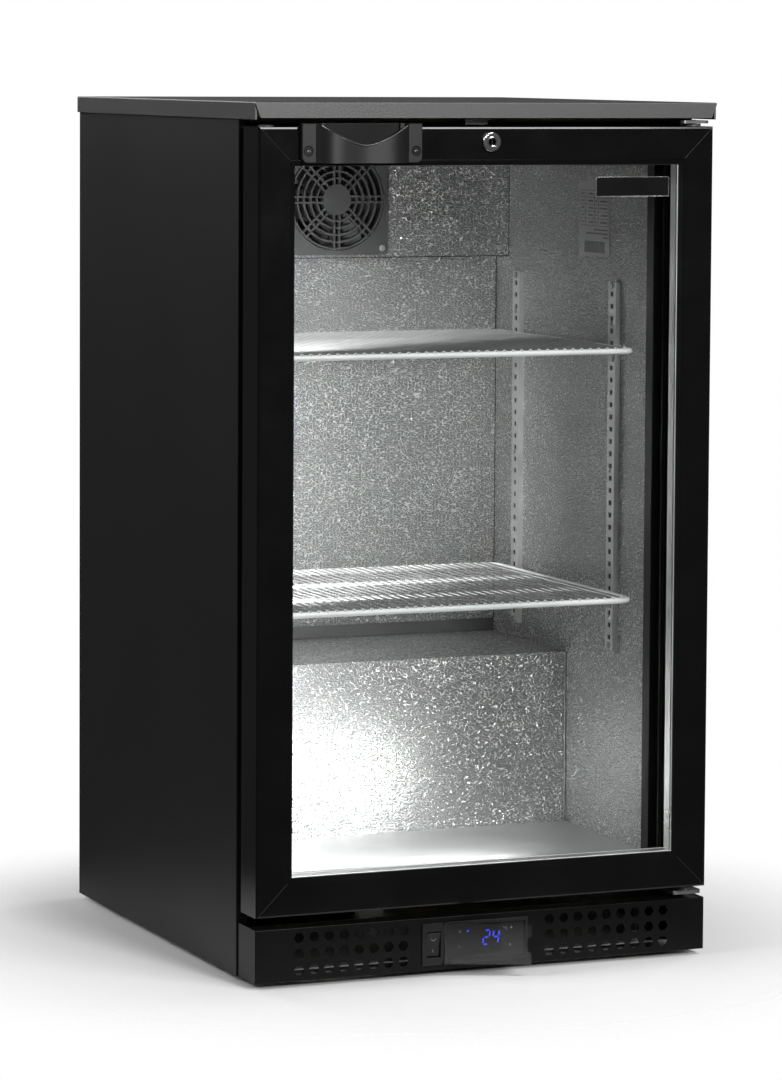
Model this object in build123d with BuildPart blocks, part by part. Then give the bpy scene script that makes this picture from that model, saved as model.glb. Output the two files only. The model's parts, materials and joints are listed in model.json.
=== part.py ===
"""Undercounter refrigerator: a single glass-door back-bar cooler, in millimetres.

+X is the object's right, its front faces -Y and +Z is up. The origin is the bottom centre of
everything, with the door shut and the controller flap ajar.
"""
import os
from math import cos, radians, sin

from build123d import *

os.makedirs("parts", exist_ok=True)

# ---------------------------------------------------------------- driving dimensions
WIDTH = 500.0  # worktop, left to right
DEPTH = 530.0  # worktop, front to back
FOOT_SHOWING = 5.0  # how far the screwed-in feet stand below the casing
HEIGHT = 872.0  # floor to worktop surface
FLAP_ANGLE = 24.0  # how far ajar the controller flap rests
FLAP_LENGTH = 86.0
FLAP_HEIGHT = 43.0
FLAP_THICK = 1.6
BEZEL_PROUD = 2.4  # bezel in front of the plinth
DOOR_DEPTH = 42.0
DOOR_WIDTH = 493.0
DOOR_BOTTOM = 71.5
DOOR_TOP = 848.0
FRAME_WIDTH = 38.0  # each door profile, outer edge to glass
CASING_INSET = 2.0  # side panels behind the worktop's edge
WORKTOP_THICK = 17.0
SHEET = 1.0  # casing sheet steel
LINER_SHEET = 0.6  # stucco aluminium
INNER_HALF = 205.0  # half the inner width
FLOOR_Z = 101.0
CEILING_Z = 826.0
STEP_Z = 284.0
STEP_DEPTH = 250.0  # worktop front to the compressor step
HOUSING_DEPTH = 405.0  # worktop front to the evaporator housing
HOUSING_Z = 700.0
DUCT_DEPTH = 438.0  # worktop front to the rear duct panel
LINER_BACK_DEPTH = 470.0
CABINET_DEPTH = 51.0  # worktop front to the cabinet's front edge
SHELF_Z = {"upper_shelf": 617.0, "lower_shelf": 360.0}
HINGE_INSET = 14.5  # pin axis inside the door's right edge
FIT = 0.05  # radial running clearance of pins and shafts

# ---------------------------------------------------------------- places worked out from them
FLAP_REACH = FLAP_LENGTH * sin(radians(FLAP_ANGLE)) + FLAP_THICK / 2 * (1 + cos(radians(FLAP_ANGLE))) + 0.3
FRONT = (FLAP_REACH - DEPTH) / 2  # worktop's front face
BACK = FRONT + DEPTH
HALF = WIDTH / 2
SIDE = HALF - CASING_INSET  # outer face of the side panels
CASING_BACK = BACK - CASING_INSET
CASING_BOTTOM = FOOT_SHOWING
WORKTOP_UNDER = HEIGHT - WORKTOP_THICK
CABINET_FRONT = FRONT + CABINET_DEPTH
DOOR_BACK = FRONT + DOOR_DEPTH
DOOR_HALF = DOOR_WIDTH / 2
STEP_FRONT = FRONT + STEP_DEPTH
HOUSING_FRONT = FRONT + HOUSING_DEPTH
DUCT_FRONT = FRONT + DUCT_DEPTH
LINER_BACK = FRONT + LINER_BACK_DEPTH
HINGE_X = DOOR_HALF - HINGE_INSET
HINGE_Y = FRONT + 20.0
PLINTH_FRONT = FRONT + BEZEL_PROUD
PLINTH_TOP = 59.5
SEAM = 0.1  # half gap between butted strips of one group


def finish(piece, name):
    """Label a finished piece and write its STEP file."""
    piece.part.label = name
    export_step(piece.part, f"parts/{name}.step")


def block(x, y, z, mode=Mode.ADD):
    """A box between a low and a high value on each axis, in the part being built."""
    middle = [(low + high) / 2 for low, high in (x, y, z)]
    with Locations(tuple(middle)):
        Box(x[1] - x[0], y[1] - y[0], z[1] - z[0], mode=mode)


def rod(start, direction, radius, length, mode=Mode.ADD):
    """A round bar from a start point along a direction, in the part being built."""
    with Locations(Plane(origin=start, z_dir=direction)):
        Cylinder(radius, length, align=(Align.CENTER, Align.CENTER, Align.MIN), mode=mode)


# ---------------------------------------------------------------- four-sided rings
# A ring stands upright round the front opening. Each bar has its own corner, the way inwards
# and the way along, so that along x inwards points to the back.
def ring_sides(half_width, bottom, top, front):
    return {
        "left": ((-half_width, front, bottom), (1, 0, 0), (0, 0, 1), top - bottom),
        "right": ((half_width, front, top), (-1, 0, 0), (0, 0, -1), top - bottom),
        "top": ((-half_width, front, top), (0, 0, -1), (1, 0, 0), 2 * half_width),
        "bottom": ((half_width, front, bottom), (0, 0, 1), (-1, 0, 0), 2 * half_width),
    }


def mitred_bar(side, outline, cavity=None, gap=0.0):
    """One bar of a ring: its outline is (inwards, backwards) points, cut at 45 degrees."""
    origin, inwards, along, length = side
    width = max(u for u, v in outline)
    depth = max(v for u, v in outline)
    with BuildPart() as bar:
        with BuildSketch(Plane(origin=origin, x_dir=inwards, z_dir=along)):
            Polygon(*outline, align=None)
            if cavity:
                Polygon(*cavity, align=None, mode=Mode.SUBTRACT)
        extrude(amount=length)
        with BuildSketch(Plane(origin=origin, x_dir=along, z_dir=(0, 1, 0))):
            Polygon((gap, 0), (length - gap, 0), (length - gap - width, width),
                    (gap + width, width), align=None)
        extrude(amount=depth, mode=Mode.INTERSECT)
    return bar


def box_outline(width, depth):
    return [(0, 0), (width, 0), (width, depth), (0, depth)]


# ---------------------------------------------------------------- casing
RETURN = 12.0  # folded edge along each panel's front
for name, hand in (("left_side_panel", -1), ("right_side_panel", 1)):
    outer, inner, fold = hand * SIDE, hand * (SIDE - SHEET), hand * (SIDE - RETURN)
    with BuildPart() as side_panel:
        with BuildSketch(Plane.XY.offset(CASING_BOTTOM)):
            Polygon((outer, CABINET_FRONT), (fold, CABINET_FRONT), (fold, CABINET_FRONT + SHEET),
                    (inner, CABINET_FRONT + SHEET), (inner, CASING_BACK), (outer, CASING_BACK),
                    align=None)
        extrude(amount=WORKTOP_UNDER - CASING_BOTTOM)
        fillet(side_panel.edges().filter_by(Axis.Z).sort_by(
            lambda edge: edge.center().Y + abs(abs(edge.center().X) - SIDE) * 100)[0], 0.8)
    finish(side_panel, name)

COMPARTMENT_TOP = STEP_Z - 40.0
COMPARTMENT_FRONT = STEP_FRONT + 40.0
with BuildPart() as back_panel:
    block((-SIDE + SHEET, SIDE - SHEET), (CASING_BACK - SHEET, CASING_BACK),
          (COMPARTMENT_TOP + 4, WORKTOP_UNDER))
finish(back_panel, "back_panel")

# The base pan lies just inside the casing. The feet screw through it.
FOOT_PLACES = {
    "foot_front_left": (-205.0, FRONT + 75.0),
    "foot_front_right": (205.0, FRONT + 75.0),
    "foot_rear_left": (-205.0, FRONT + 500.0),
    "foot_rear_right": (205.0, FRONT + 500.0),
}
STEM_RADIUS = 5.0
PAN_Z = CASING_BOTTOM + 1.0
PAN_THICK = 1.5
with BuildPart() as base_pan:
    block((-SIDE + SHEET, SIDE - SHEET), (CABINET_FRONT + 2, CASING_BACK - SHEET),
          (PAN_Z, PAN_Z + PAN_THICK))
    with BuildSketch(Plane.XY.offset(PAN_Z + PAN_THICK)):
        with Locations(*FOOT_PLACES.values()):
            RegularPolygon(11.0, 6)
    extrude(amount=8)
    for x, y in FOOT_PLACES.values():
        rod((x, y, PAN_Z - 1), (0, 0, 1), STEM_RADIUS + FIT, 14, Mode.SUBTRACT)
finish(base_pan, "base_pan")

PAD_RADIUS = 17.0
for name, (x, y) in FOOT_PLACES.items():
    with BuildPart() as foot:
        rod((x, y, 0), (0, 0, 1), PAD_RADIUS, PAN_Z - 0.3)
        fillet(foot.edges().group_by(Axis.Z)[0], 1.0)
        rod((x, y, 1), (0, 0, 1), STEM_RADIUS, 44)
    finish(foot, name)

# Worktop: a folded tray, open below, on the foam. Its front corners are notched on a slant.
SKIRT = 2.0  # thickness of the folded skirt
NOTCH = 6.0
with BuildPart() as worktop:
    block((-HALF, HALF), (FRONT, BACK), (WORKTOP_UNDER, HEIGHT))
    fillet(worktop.edges().group_by(Axis.Z)[-1], 1.2)
    block((-HALF + SKIRT, HALF - SKIRT), (FRONT + SKIRT, BACK - SKIRT),
          (WORKTOP_UNDER, HEIGHT - 1.2), Mode.SUBTRACT)
    block((-HALF, HALF), (FRONT, FRONT + SKIRT), (WORKTOP_UNDER, WORKTOP_UNDER + 1.6), Mode.SUBTRACT)
    with BuildSketch(Plane.XZ.offset(-FRONT)):
        for hand in (-1, 1):
            Polygon((hand * HALF, HEIGHT - 2.0), (hand * HALF, WORKTOP_UNDER),
                    (hand * (HALF - NOTCH), WORKTOP_UNDER), align=None)
    extrude(amount=-SKIRT, mode=Mode.SUBTRACT)
finish(worktop, "worktop")

# Foam, in the blocks that the cavities leave.
FOAM_HALF = SIDE - SHEET - 0.2
FOAM_FRONT = CABINET_FRONT + 15.0
LINER_OUT = INNER_HALF + LINER_SHEET + 0.1
FOAM_BACK = CASING_BACK - SHEET - 0.2
FLOOR_UNDER = FLOOR_Z - 40.0
with BuildPart() as foam_insulation:
    for low, high in ((-FOAM_HALF, -LINER_OUT), (LINER_OUT, FOAM_HALF)):
        block((low, high), (FOAM_FRONT, FOAM_BACK), (FLOOR_UNDER, HEIGHT - 1.4))
    inside = (-INNER_HALF + 0.2, INNER_HALF - 0.2)
    liner_top = CEILING_Z + LINER_SHEET + 0.1
    block(inside, (FOAM_FRONT, FOAM_BACK), (liner_top, HEIGHT - 1.4))
    block(inside, (LINER_BACK + LINER_SHEET + 0.1, FOAM_BACK), (COMPARTMENT_TOP, liner_top - 0.2))
    block(inside, (STEP_FRONT + 1.0, LINER_BACK + 0.5), (COMPARTMENT_TOP, STEP_Z - 1.0))
    block(inside, (STEP_FRONT + 1.0, COMPARTMENT_FRONT), (FLOOR_Z, COMPARTMENT_TOP - 0.2))
    block(inside, (FOAM_FRONT, COMPARTMENT_FRONT), (FLOOR_UNDER, FLOOR_Z - LINER_SHEET - 0.2))
finish(foam_insulation, "foam_insulation")

# ---------------------------------------------------------------- liner
LINER_FRONT = CABINET_FRONT + 14.4
with BuildPart() as liner_side_walls:
    for hand in (-1, 1):
        faces = sorted((hand * INNER_HALF, hand * (INNER_HALF + LINER_SHEET)))
        block(faces, (LINER_FRONT, LINER_BACK), (FLOOR_Z - LINER_SHEET, CEILING_Z))
finish(liner_side_walls, "liner_side_walls")

with BuildPart() as liner_back_wall:
    block((-INNER_HALF, INNER_HALF), (LINER_BACK, LINER_BACK + LINER_SHEET), (STEP_Z, CEILING_Z))
finish(liner_back_wall, "liner_back_wall")

with BuildPart() as liner_ceiling:
    block((-INNER_HALF, INNER_HALF), (LINER_FRONT, LINER_BACK), (CEILING_Z, CEILING_Z + LINER_SHEET))
finish(liner_ceiling, "liner_ceiling")

with BuildPart() as liner_floor:
    block((-INNER_HALF, INNER_HALF), (LINER_FRONT, STEP_FRONT), (FLOOR_Z - LINER_SHEET, FLOOR_Z))
finish(liner_floor, "liner_floor")

with BuildPart() as compressor_step_cover:
    with BuildSketch(Plane.YZ.offset(-INNER_HALF)):
        Polygon((STEP_FRONT, FLOOR_Z), (STEP_FRONT, STEP_Z), (LINER_BACK, STEP_Z),
                (LINER_BACK, STEP_Z - 0.8), (STEP_FRONT + 0.8, STEP_Z - 0.8),
                (STEP_FRONT + 0.8, FLOOR_Z), align=None)
    extrude(amount=2 * INNER_HALF)
finish(compressor_step_cover, "compressor_step_cover")

# Black strips that close the front edge between casing and liner.
BREAKER_FACE = CABINET_FRONT - 1.5
BREAKER_TOP = 810.0
breaker_ring = ring_sides(243.0, 66.0, 852.0, BREAKER_FACE)
strips = []
for which, side in breaker_ring.items():
    reach = {"left": 243.0 - INNER_HALF, "right": 243.0 - INNER_HALF,
             "top": 852.0 - BREAKER_TOP, "bottom": FLOOR_Z - 66.0}[which]
    outline = [(0, 0), (reach, 0), (reach, 15.7), (reach - 1.6, 15.7), (reach - 1.6, 1.4), (0, 1.4)]
    origin, inwards, along, length = side
    with BuildPart() as strip:
        with BuildSketch(Plane(origin=origin, x_dir=inwards, z_dir=along)):
            Polygon(*outline, align=None)
        extrude(amount=length)
    strips.append((which, strip.part))
with BuildPart() as breaker_frame:
    for which, strip in strips:
        if which in ("top", "bottom"):
            add(strip)
    for x in ((-243.5, -INNER_HALF + SEAM), (INNER_HALF - SEAM, 243.5)):
        block(x, (BREAKER_FACE - 1, BREAKER_FACE + 20), (60, 860), Mode.SUBTRACT)
    for which, strip in strips:
        if which in ("left", "right"):
            add(strip)
finish(breaker_frame, "breaker_frame")

# ---------------------------------------------------------------- plinth and controller
PLINTH_HALF = 246.5
PLINTH_BOTTOM = CASING_BOTTOM + 1.0
VENT_PITCH = 16.0
VENT_MID_Z = 33.3
VENT_RADIUS = 5.5  # across corners / 2
BEZEL = (-68.5, 47.5)
BEZEL_Z = (11.5, 54.0)
with BuildPart() as plinth_panel:
    with BuildSketch(Plane.XY.offset(PLINTH_BOTTOM)):
        Polygon((-PLINTH_HALF, PLINTH_FRONT), (PLINTH_HALF, PLINTH_FRONT),
                (PLINTH_HALF, CABINET_FRONT - 0.2), (PLINTH_HALF - 1.2, CABINET_FRONT - 0.2),
                (PLINTH_HALF - 1.2, PLINTH_FRONT + 1.2), (-PLINTH_HALF + 1.2, PLINTH_FRONT + 1.2),
                (-PLINTH_HALF + 1.2, CABINET_FRONT - 0.2), (-PLINTH_HALF, CABINET_FRONT - 0.2),
                align=None)
    extrude(amount=PLINTH_TOP - PLINTH_BOTTOM)
    for z in ((PLINTH_BOTTOM, PLINTH_BOTTOM + 1.2), (PLINTH_TOP - 1.2, PLINTH_TOP)):
        block((-PLINTH_HALF + 0.5, PLINTH_HALF - 0.5), (PLINTH_FRONT + 0.5, PLINTH_FRONT + 22), z)
    fillet(plinth_panel.faces().sort_by(Axis.Y)[0].edges(), 1.0)
    with BuildSketch(Plane.XZ.offset(-PLINTH_FRONT)):
        for first, count in ((-200.0, 8), (72.0, 9)):
            with Locations((first + (count - 1) * VENT_PITCH / 2, VENT_MID_Z)):
                with GridLocations(VENT_PITCH, VENT_PITCH, count, 3):
                    RegularPolygon(VENT_RADIUS, 6)
        with Locations(((BEZEL[0] + BEZEL[1]) / 2, sum(BEZEL_Z) / 2)):
            Rectangle(BEZEL[1] - BEZEL[0] - 4, BEZEL_Z[1] - BEZEL_Z[0] - 4)
    extrude(amount=5, both=True, mode=Mode.SUBTRACT)
finish(plinth_panel, "plinth_panel")

# The bezel is a shallow frame through the plinth, with the rocker at its left end and the
# thermostat beside it, behind a clear flap hinged on two short pivots.
ROCKER_X = (-63.0, -49.0)
ROCKER_Z = (20.0, 45.0)
THERMOSTAT_X = (-42.0, 43.5)
THERMOSTAT_Z = (15.5, 50.0)
FLAP_PIVOT = (-44.0, FRONT - FLAP_THICK / 2 - 0.3)
PIVOT_RADIUS = 0.6
TAB = 2.0
FLAP_Z = ((BEZEL_Z[0] + BEZEL_Z[1] - FLAP_HEIGHT) / 2 + 1.0,
          (BEZEL_Z[0] + BEZEL_Z[1] + FLAP_HEIGHT) / 2 - 1.0)
with BuildPart() as controller_bezel:
    block(BEZEL, (FRONT, PLINTH_FRONT), BEZEL_Z)
    chamfer(controller_bezel.faces().sort_by(Axis.Y)[0].edges(), 0.8)
    block((BEZEL[0] + 2.2, BEZEL[1] - 2.2), (PLINTH_FRONT, PLINTH_FRONT + 10),
          (BEZEL_Z[0] + 2.2, BEZEL_Z[1] - 2.2))
    block((THERMOSTAT_X[0] - 0.2, THERMOSTAT_X[1] + 0.2), (FRONT - 1, FRONT + 20),
          (THERMOSTAT_Z[0] - 0.2, THERMOSTAT_Z[1] + 0.2), Mode.SUBTRACT)
    block((ROCKER_X[0] - 0.6, ROCKER_X[1] + 0.6), (FRONT - 1, FRONT + 20),
          (ROCKER_Z[0] - 0.6, ROCKER_Z[1] + 0.6), Mode.SUBTRACT)
    for z in (BEZEL_Z[0], BEZEL_Z[1] - TAB):
        block((FLAP_PIVOT[0] - 2, FLAP_PIVOT[0] + 2), (FRONT - FLAP_THICK - 1.4, FRONT + 0.5), (z, z + TAB))
    rod((*FLAP_PIVOT, 0), (0, 0, 1), PIVOT_RADIUS + FIT, 80, Mode.SUBTRACT)
finish(controller_bezel, "controller_bezel")

with BuildPart() as thermostat:
    block(THERMOSTAT_X, (FRONT + 1.2, FRONT + 8), THERMOSTAT_Z)
    chamfer(thermostat.faces().sort_by(Axis.Y)[0].edges(), 0.6)
    block((THERMOSTAT_X[0] + 4, THERMOSTAT_X[1] - 4), (FRONT + 8, FRONT + 40),
          (THERMOSTAT_Z[0] + 3, THERMOSTAT_Z[1] - 3))
finish(thermostat, "thermostat")

# Rocker: it rests with its lower end pressed and tips about a cross pin.
ROCKER_TILT = 12.0
ROCKER_PIN_Y = FRONT + 7.0
rocker_mid = (ROCKER_Z[0] + ROCKER_Z[1]) / 2
with BuildPart() as rocker_switch:
    with BuildSketch(Plane.YZ.offset(ROCKER_X[0])):
        with BuildLine():
            Polyline((ROCKER_PIN_Y + 2, rocker_mid - 9), (FRONT + 4.2, ROCKER_Z[0] + 0.4),
                     (FRONT + 3.2, ROCKER_Z[0] + 0.4), (FRONT + 2.4, rocker_mid),
                     (FRONT - 0.4, ROCKER_Z[1] - 0.9), (FRONT + 1.6, ROCKER_Z[1] - 0.6),
                     (ROCKER_PIN_Y + 2, rocker_mid + 9), close=True)
        make_face()
    extrude(amount=ROCKER_X[1] - ROCKER_X[0])
    fillet(rocker_switch.edges().filter_by(Axis.X).sort_by(Axis.Y)[:2], 0.5)
finish(rocker_switch, "rocker_switch")

# Clear flap, turned open about its left edge.
flap_turn = radians(-FLAP_ANGLE)
flap_dir = (cos(flap_turn), sin(flap_turn), 0)
with BuildPart() as controller_flap:
    with BuildSketch(Plane(origin=(FLAP_PIVOT[0], FLAP_PIVOT[1], FLAP_Z[0]),
                           x_dir=flap_dir, z_dir=(0, 0, 1))):
        half = FLAP_THICK / 2
        Polygon((0, -half), (FLAP_LENGTH, -half), (FLAP_LENGTH, half), (0, half), align=None)
        Circle(half)
    extrude(amount=FLAP_Z[1] - FLAP_Z[0])
    for z in (BEZEL_Z[0] - 1, BEZEL_Z[1] - TAB - 0.3):
        rod((*FLAP_PIVOT, z), (0, 0, 1), 4.4, TAB + 1.3, Mode.SUBTRACT)
    rod((*FLAP_PIVOT, BEZEL_Z[0] + 0.4), (0, 0, 1), PIVOT_RADIUS, BEZEL_Z[1] - BEZEL_Z[0] - 0.8)
    notch = Plane(origin=(FLAP_PIVOT[0], FLAP_PIVOT[1], 0), x_dir=flap_dir,
                  z_dir=(flap_dir[1], -flap_dir[0], 0))
    with BuildSketch(notch):
        with Locations((FLAP_LENGTH + 3.0, sum(FLAP_Z) / 2)):
            Circle(9.0)
    extrude(amount=5, both=True, mode=Mode.SUBTRACT)
finish(controller_flap, "controller_flap")

# ---------------------------------------------------------------- hinges
PIN_RADIUS = 4.0
TONGUE = (214.0, 246.0)
TOP_TONGUE_Z = (851.0, 854.0)
BOTTOM_TONGUE_Z = (63.0, 66.5)
FLANGE_Y = (BREAKER_FACE - 2.0, BREAKER_FACE)
with BuildPart() as top_hinge_bracket:
    block(TONGUE, (FRONT + 7.0, BREAKER_FACE), TOP_TONGUE_Z)
    fillet(top_hinge_bracket.edges().filter_by(Axis.Z).sort_by(Axis.Y)[:2], 5.0)
    block((TONGUE[0] + 19, TONGUE[1]), FLANGE_Y, (815.0, TOP_TONGUE_Z[1]))
    rod((HINGE_X, HINGE_Y, 840), (0, 0, 1), PIN_RADIUS, 20, Mode.SUBTRACT)
finish(top_hinge_bracket, "top_hinge_bracket")

with BuildPart() as bottom_hinge_bracket:
    block(TONGUE, (FRONT + 7.0, BREAKER_FACE), BOTTOM_TONGUE_Z)
    fillet(bottom_hinge_bracket.edges().filter_by(Axis.Z).sort_by(Axis.Y)[:2], 5.0)
    block((TONGUE[0] + 19, TONGUE[1]), FLANGE_Y, (BOTTOM_TONGUE_Z[0], 105.0))
    rod((HINGE_X, HINGE_Y, 50), (0, 0, 1), PIN_RADIUS, 30, Mode.SUBTRACT)
finish(bottom_hinge_bracket, "bottom_hinge_bracket")

BUSH_DEPTH = 7.0
with BuildPart() as hinge_pins:
    rod((HINGE_X, HINGE_Y, DOOR_TOP - BUSH_DEPTH), (0, 0, 1), PIN_RADIUS,
        TOP_TONGUE_Z[1] + 0.6 - DOOR_TOP + BUSH_DEPTH)
    rod((HINGE_X, HINGE_Y, BOTTOM_TONGUE_Z[0] - 1.0), (0, 0, 1), PIN_RADIUS,
        DOOR_BOTTOM + BUSH_DEPTH - BOTTOM_TONGUE_Z[0] + 1.0)
finish(hinge_pins, "hinge_pins")

with BuildPart() as door_bushes:
    for face, way, collar in ((DOOR_TOP, 1, 2.6), (DOOR_BOTTOM, -1, 4.8)):
        rod((HINGE_X, HINGE_Y, face), (0, 0, way), 9.0, collar)
        rod((HINGE_X, HINGE_Y, face), (0, 0, -way), 7.0, BUSH_DEPTH)
        rod((HINGE_X, HINGE_Y, face - way * 20), (0, 0, way), PIN_RADIUS + FIT, 40, Mode.SUBTRACT)
finish(door_bushes, "door_bushes")

# ---------------------------------------------------------------- door
# Hollow profile: a square outer corner, a face, and a bevelled bead down to the glass.
FACE_WIDTH = 32.5
BEAD_DEPTH = 2.6
door_outline = [(0, 2.2), (0.6, 0.7), (2.2, 0), (FACE_WIDTH, 0), (FACE_WIDTH + 0.8, 0.8),
                (FRAME_WIDTH, 1.4), (FRAME_WIDTH, BEAD_DEPTH), (30.0, BEAD_DEPTH),
                (30.0, DOOR_DEPTH), (0, DOOR_DEPTH)]
door_cavity = [(2.0, 2.6), (28.0, 2.6), (28.0, DOOR_DEPTH - 2), (2.0, DOOR_DEPTH - 2)]
LOCK_Z = 833.0
LOCK_RADIUS = 7.0
HANDLE = (-204.0, -76.5)
HANDLE_SCREWS = (HANDLE[0] + 6.8, HANDLE[1] - 6.8)
HANDLE_Z = (812.7, 851.5)
HANDLE_SCREW_Z = 824.5
for which, side in ring_sides(DOOR_HALF, DOOR_BOTTOM, DOOR_TOP, FRONT).items():
    bar = mitred_bar(side, door_outline, door_cavity)
    with BuildPart() as profile:
        add(bar.part)
        if which in ("top", "bottom"):
            rod((HINGE_X, HINGE_Y, DOOR_TOP if which == "top" else DOOR_BOTTOM - 20),
                (0, 0, -1 if which == "top" else 1), 7.0,
                20.0 if which == "top" else 20.0 + BUSH_DEPTH, Mode.SUBTRACT)
        if which == "top":
            rod((0, FRONT - 1, LOCK_Z), (0, 1, 0), LOCK_RADIUS, DOOR_DEPTH + 2, Mode.SUBTRACT)
            for x in HANDLE_SCREWS:
                rod((x, FRONT - 1, HANDLE_SCREW_Z), (0, 1, 0), 2.2, 8, Mode.SUBTRACT)
    finish(profile, f"door_{which}_profile")

GLASS_HALF = DOOR_HALF - 30.5
GLASS_Z = (DOOR_BOTTOM + 30.5, DOOR_TOP - 30.5)
PANE = 4.0
SPACER = 12.0
GLASS_FRONT = FRONT + BEAD_DEPTH + 0.1
with BuildPart() as glass_panes:
    for front in (GLASS_FRONT, GLASS_FRONT + PANE + SPACER):
        block((-GLASS_HALF, GLASS_HALF), (front, front + PANE), GLASS_Z)
finish(glass_panes, "glass_panes")

spacer_sides = ring_sides(GLASS_HALF, *GLASS_Z, GLASS_FRONT + PANE)
spacer_bars = [mitred_bar(side, box_outline(8.0, SPACER), gap=SEAM) for side in spacer_sides.values()]
with BuildPart() as glass_spacer:
    for bar in spacer_bars:
        add(bar.part)
finish(glass_spacer, "glass_spacer")

# Magnetic gasket in four mitred lengths, clear of the hinge side's swing.
GASKET_HALF = 230.0
GASKET_Z = (DOOR_BOTTOM + 8.0, DOOR_TOP - 22.5)
gasket_section = [(0, 0), (17.0, 0), (17.0, 3.0), (15.0, 4.5), (15.0, 7.1), (2.0, 7.1), (2.0, 4.5), (0, 3.0)]
gasket_sides = ring_sides(GASKET_HALF, *GASKET_Z, DOOR_BACK)
gasket_bars = [mitred_bar(side, gasket_section, gap=SEAM) for side in gasket_sides.values()]
with BuildPart() as door_gasket:
    for bar in gasket_bars:
        add(bar.part)
finish(door_gasket, "door_gasket")

# Handle: two screwed ears and a bulged grip with a pocket that fingers enter from above.
EAR = 14.5
EAR_PROUD = 6.0
GRIP_PROUD = 15.0
grip = (HANDLE[0] + EAR, HANDLE[1] - EAR)
grip_mid = (HANDLE[0] + HANDLE[1]) / 2
with BuildPart() as door_handle:
    block(HANDLE, (FRONT - EAR_PROUD, FRONT), HANDLE_Z)
    fillet(door_handle.edges().filter_by(Axis.Y).group_by(Axis.Z)[0], 6.0)
    chamfer(door_handle.faces().sort_by(Axis.Y)[0].edges(), 0.8)
    with BuildSketch(Plane.XY.offset(HANDLE_Z[0])):
        with BuildLine():
            Polyline((grip[0], FRONT - EAR_PROUD + 1), (grip[0], FRONT - EAR_PROUD))
            Spline((grip[0], FRONT - EAR_PROUD), (grip[0] + 8, FRONT - GRIP_PROUD + 1.5),
                   (grip_mid, FRONT - GRIP_PROUD), (grip[1] - 8, FRONT - GRIP_PROUD + 1.5),
                   (grip[1], FRONT - EAR_PROUD))
            Polyline((grip[1], FRONT - EAR_PROUD), (grip[1], FRONT - EAR_PROUD + 1),
                     (grip[0], FRONT - EAR_PROUD + 1))
        make_face()
    extrude(amount=HANDLE_Z[1] - HANDLE_Z[0])
    block((grip[0] + 9, grip[1] - 9), (FRONT - GRIP_PROUD + 3.0, FRONT - 2.0),
          (HANDLE_Z[0] + 4.0, HANDLE_Z[1] + 1), Mode.SUBTRACT)
    with BuildSketch(Plane.XZ.offset(-FRONT + EAR_PROUD - 0.5)):
        with BuildLine():
            Spline((grip[0] + 4, HANDLE_Z[1] - 2.5), (grip_mid - 26, HANDLE_Z[1] - 13.5),
                   (grip_mid, HANDLE_Z[1] - 21.5), (grip_mid + 26, HANDLE_Z[1] - 13.5),
                   (grip[1] - 4, HANDLE_Z[1] - 2.5))
            Polyline((grip[1] - 4, HANDLE_Z[1] - 2.5), (grip[1] - 4, HANDLE_Z[1] + 1),
                     (grip[0] + 4, HANDLE_Z[1] + 1), (grip[0] + 4, HANDLE_Z[1] - 2.5))
        make_face()
    extrude(amount=GRIP_PROUD, mode=Mode.SUBTRACT)
    for x in HANDLE_SCREWS:
        rod((x, FRONT - EAR_PROUD - 1, HANDLE_SCREW_Z), (0, 1, 0), 5.2, 3.4, Mode.SUBTRACT)
        rod((x, FRONT - EAR_PROUD - 1, HANDLE_SCREW_Z), (0, 1, 0), 2.2, 10, Mode.SUBTRACT)
finish(door_handle, "door_handle")

with BuildPart() as handle_screws:
    for x in HANDLE_SCREWS:
        rod((x, FRONT - EAR_PROUD + 2.4, HANDLE_SCREW_Z), (0, -1, 0), 4.4, 1.9)
        rod((x, FRONT - EAR_PROUD + 2.4, HANDLE_SCREW_Z), (0, 1, 0), 2.1, 8.0)
        for size in ((3.8, 1.0), (1.0, 3.8)):
            block((x - size[0] / 2, x + size[0] / 2),
                  (FRONT - EAR_PROUD, FRONT - EAR_PROUD + 1.4),
                  (HANDLE_SCREW_Z - size[1] / 2, HANDLE_SCREW_Z + size[1] / 2), Mode.SUBTRACT)
finish(handle_screws, "handle_screws")

# Cam lock on the door's centre line. The cam turns up behind a keeper under the worktop.
PLUG_RADIUS = 5.8
CAM_Y = (DOOR_BACK + 1.4, DOOR_BACK + 4.0)
with BuildPart() as lock_body:
    rod((0, FRONT, LOCK_Z), (0, -1, 0), 9.8, 3.0)
    fillet(lock_body.faces().sort_by(Axis.Y)[0].edges(), 1.4)
    rod((0, FRONT, LOCK_Z), (0, 1, 0), LOCK_RADIUS, DOOR_DEPTH + 0.9)
    rod((0, FRONT - 4, LOCK_Z), (0, 1, 0), PLUG_RADIUS + FIT, DOOR_DEPTH + 10, Mode.SUBTRACT)
finish(lock_body, "lock_body")

with BuildPart() as lock_cylinder:
    rod((0, FRONT - 2.4, LOCK_Z), (0, 1, 0), PLUG_RADIUS, CAM_Y[0] - FRONT + 2.4)
    block((-0.9, 0.9), (FRONT - 3, FRONT + 6), (LOCK_Z - 3.6, LOCK_Z + 3.6), Mode.SUBTRACT)
finish(lock_cylinder, "lock_cylinder")

with BuildPart() as lock_cam:
    with BuildSketch(Plane.XZ.offset(-CAM_Y[0])):
        with Locations((0, LOCK_Z)):
            Circle(4.6)
        with Locations((8.0, LOCK_Z)):
            Rectangle(20.0, 7.0)
    extrude(amount=CAM_Y[0] - CAM_Y[1])
finish(lock_cam, "lock_cam")

with BuildPart() as lock_keeper:
    block((-12, 12), (FRONT + 36, FRONT + 48), (853.4, WORKTOP_UNDER))
    block((-12, 12), (FRONT + 36, FRONT + 38), (849.6, WORKTOP_UNDER))
finish(lock_keeper, "lock_keeper")

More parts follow.
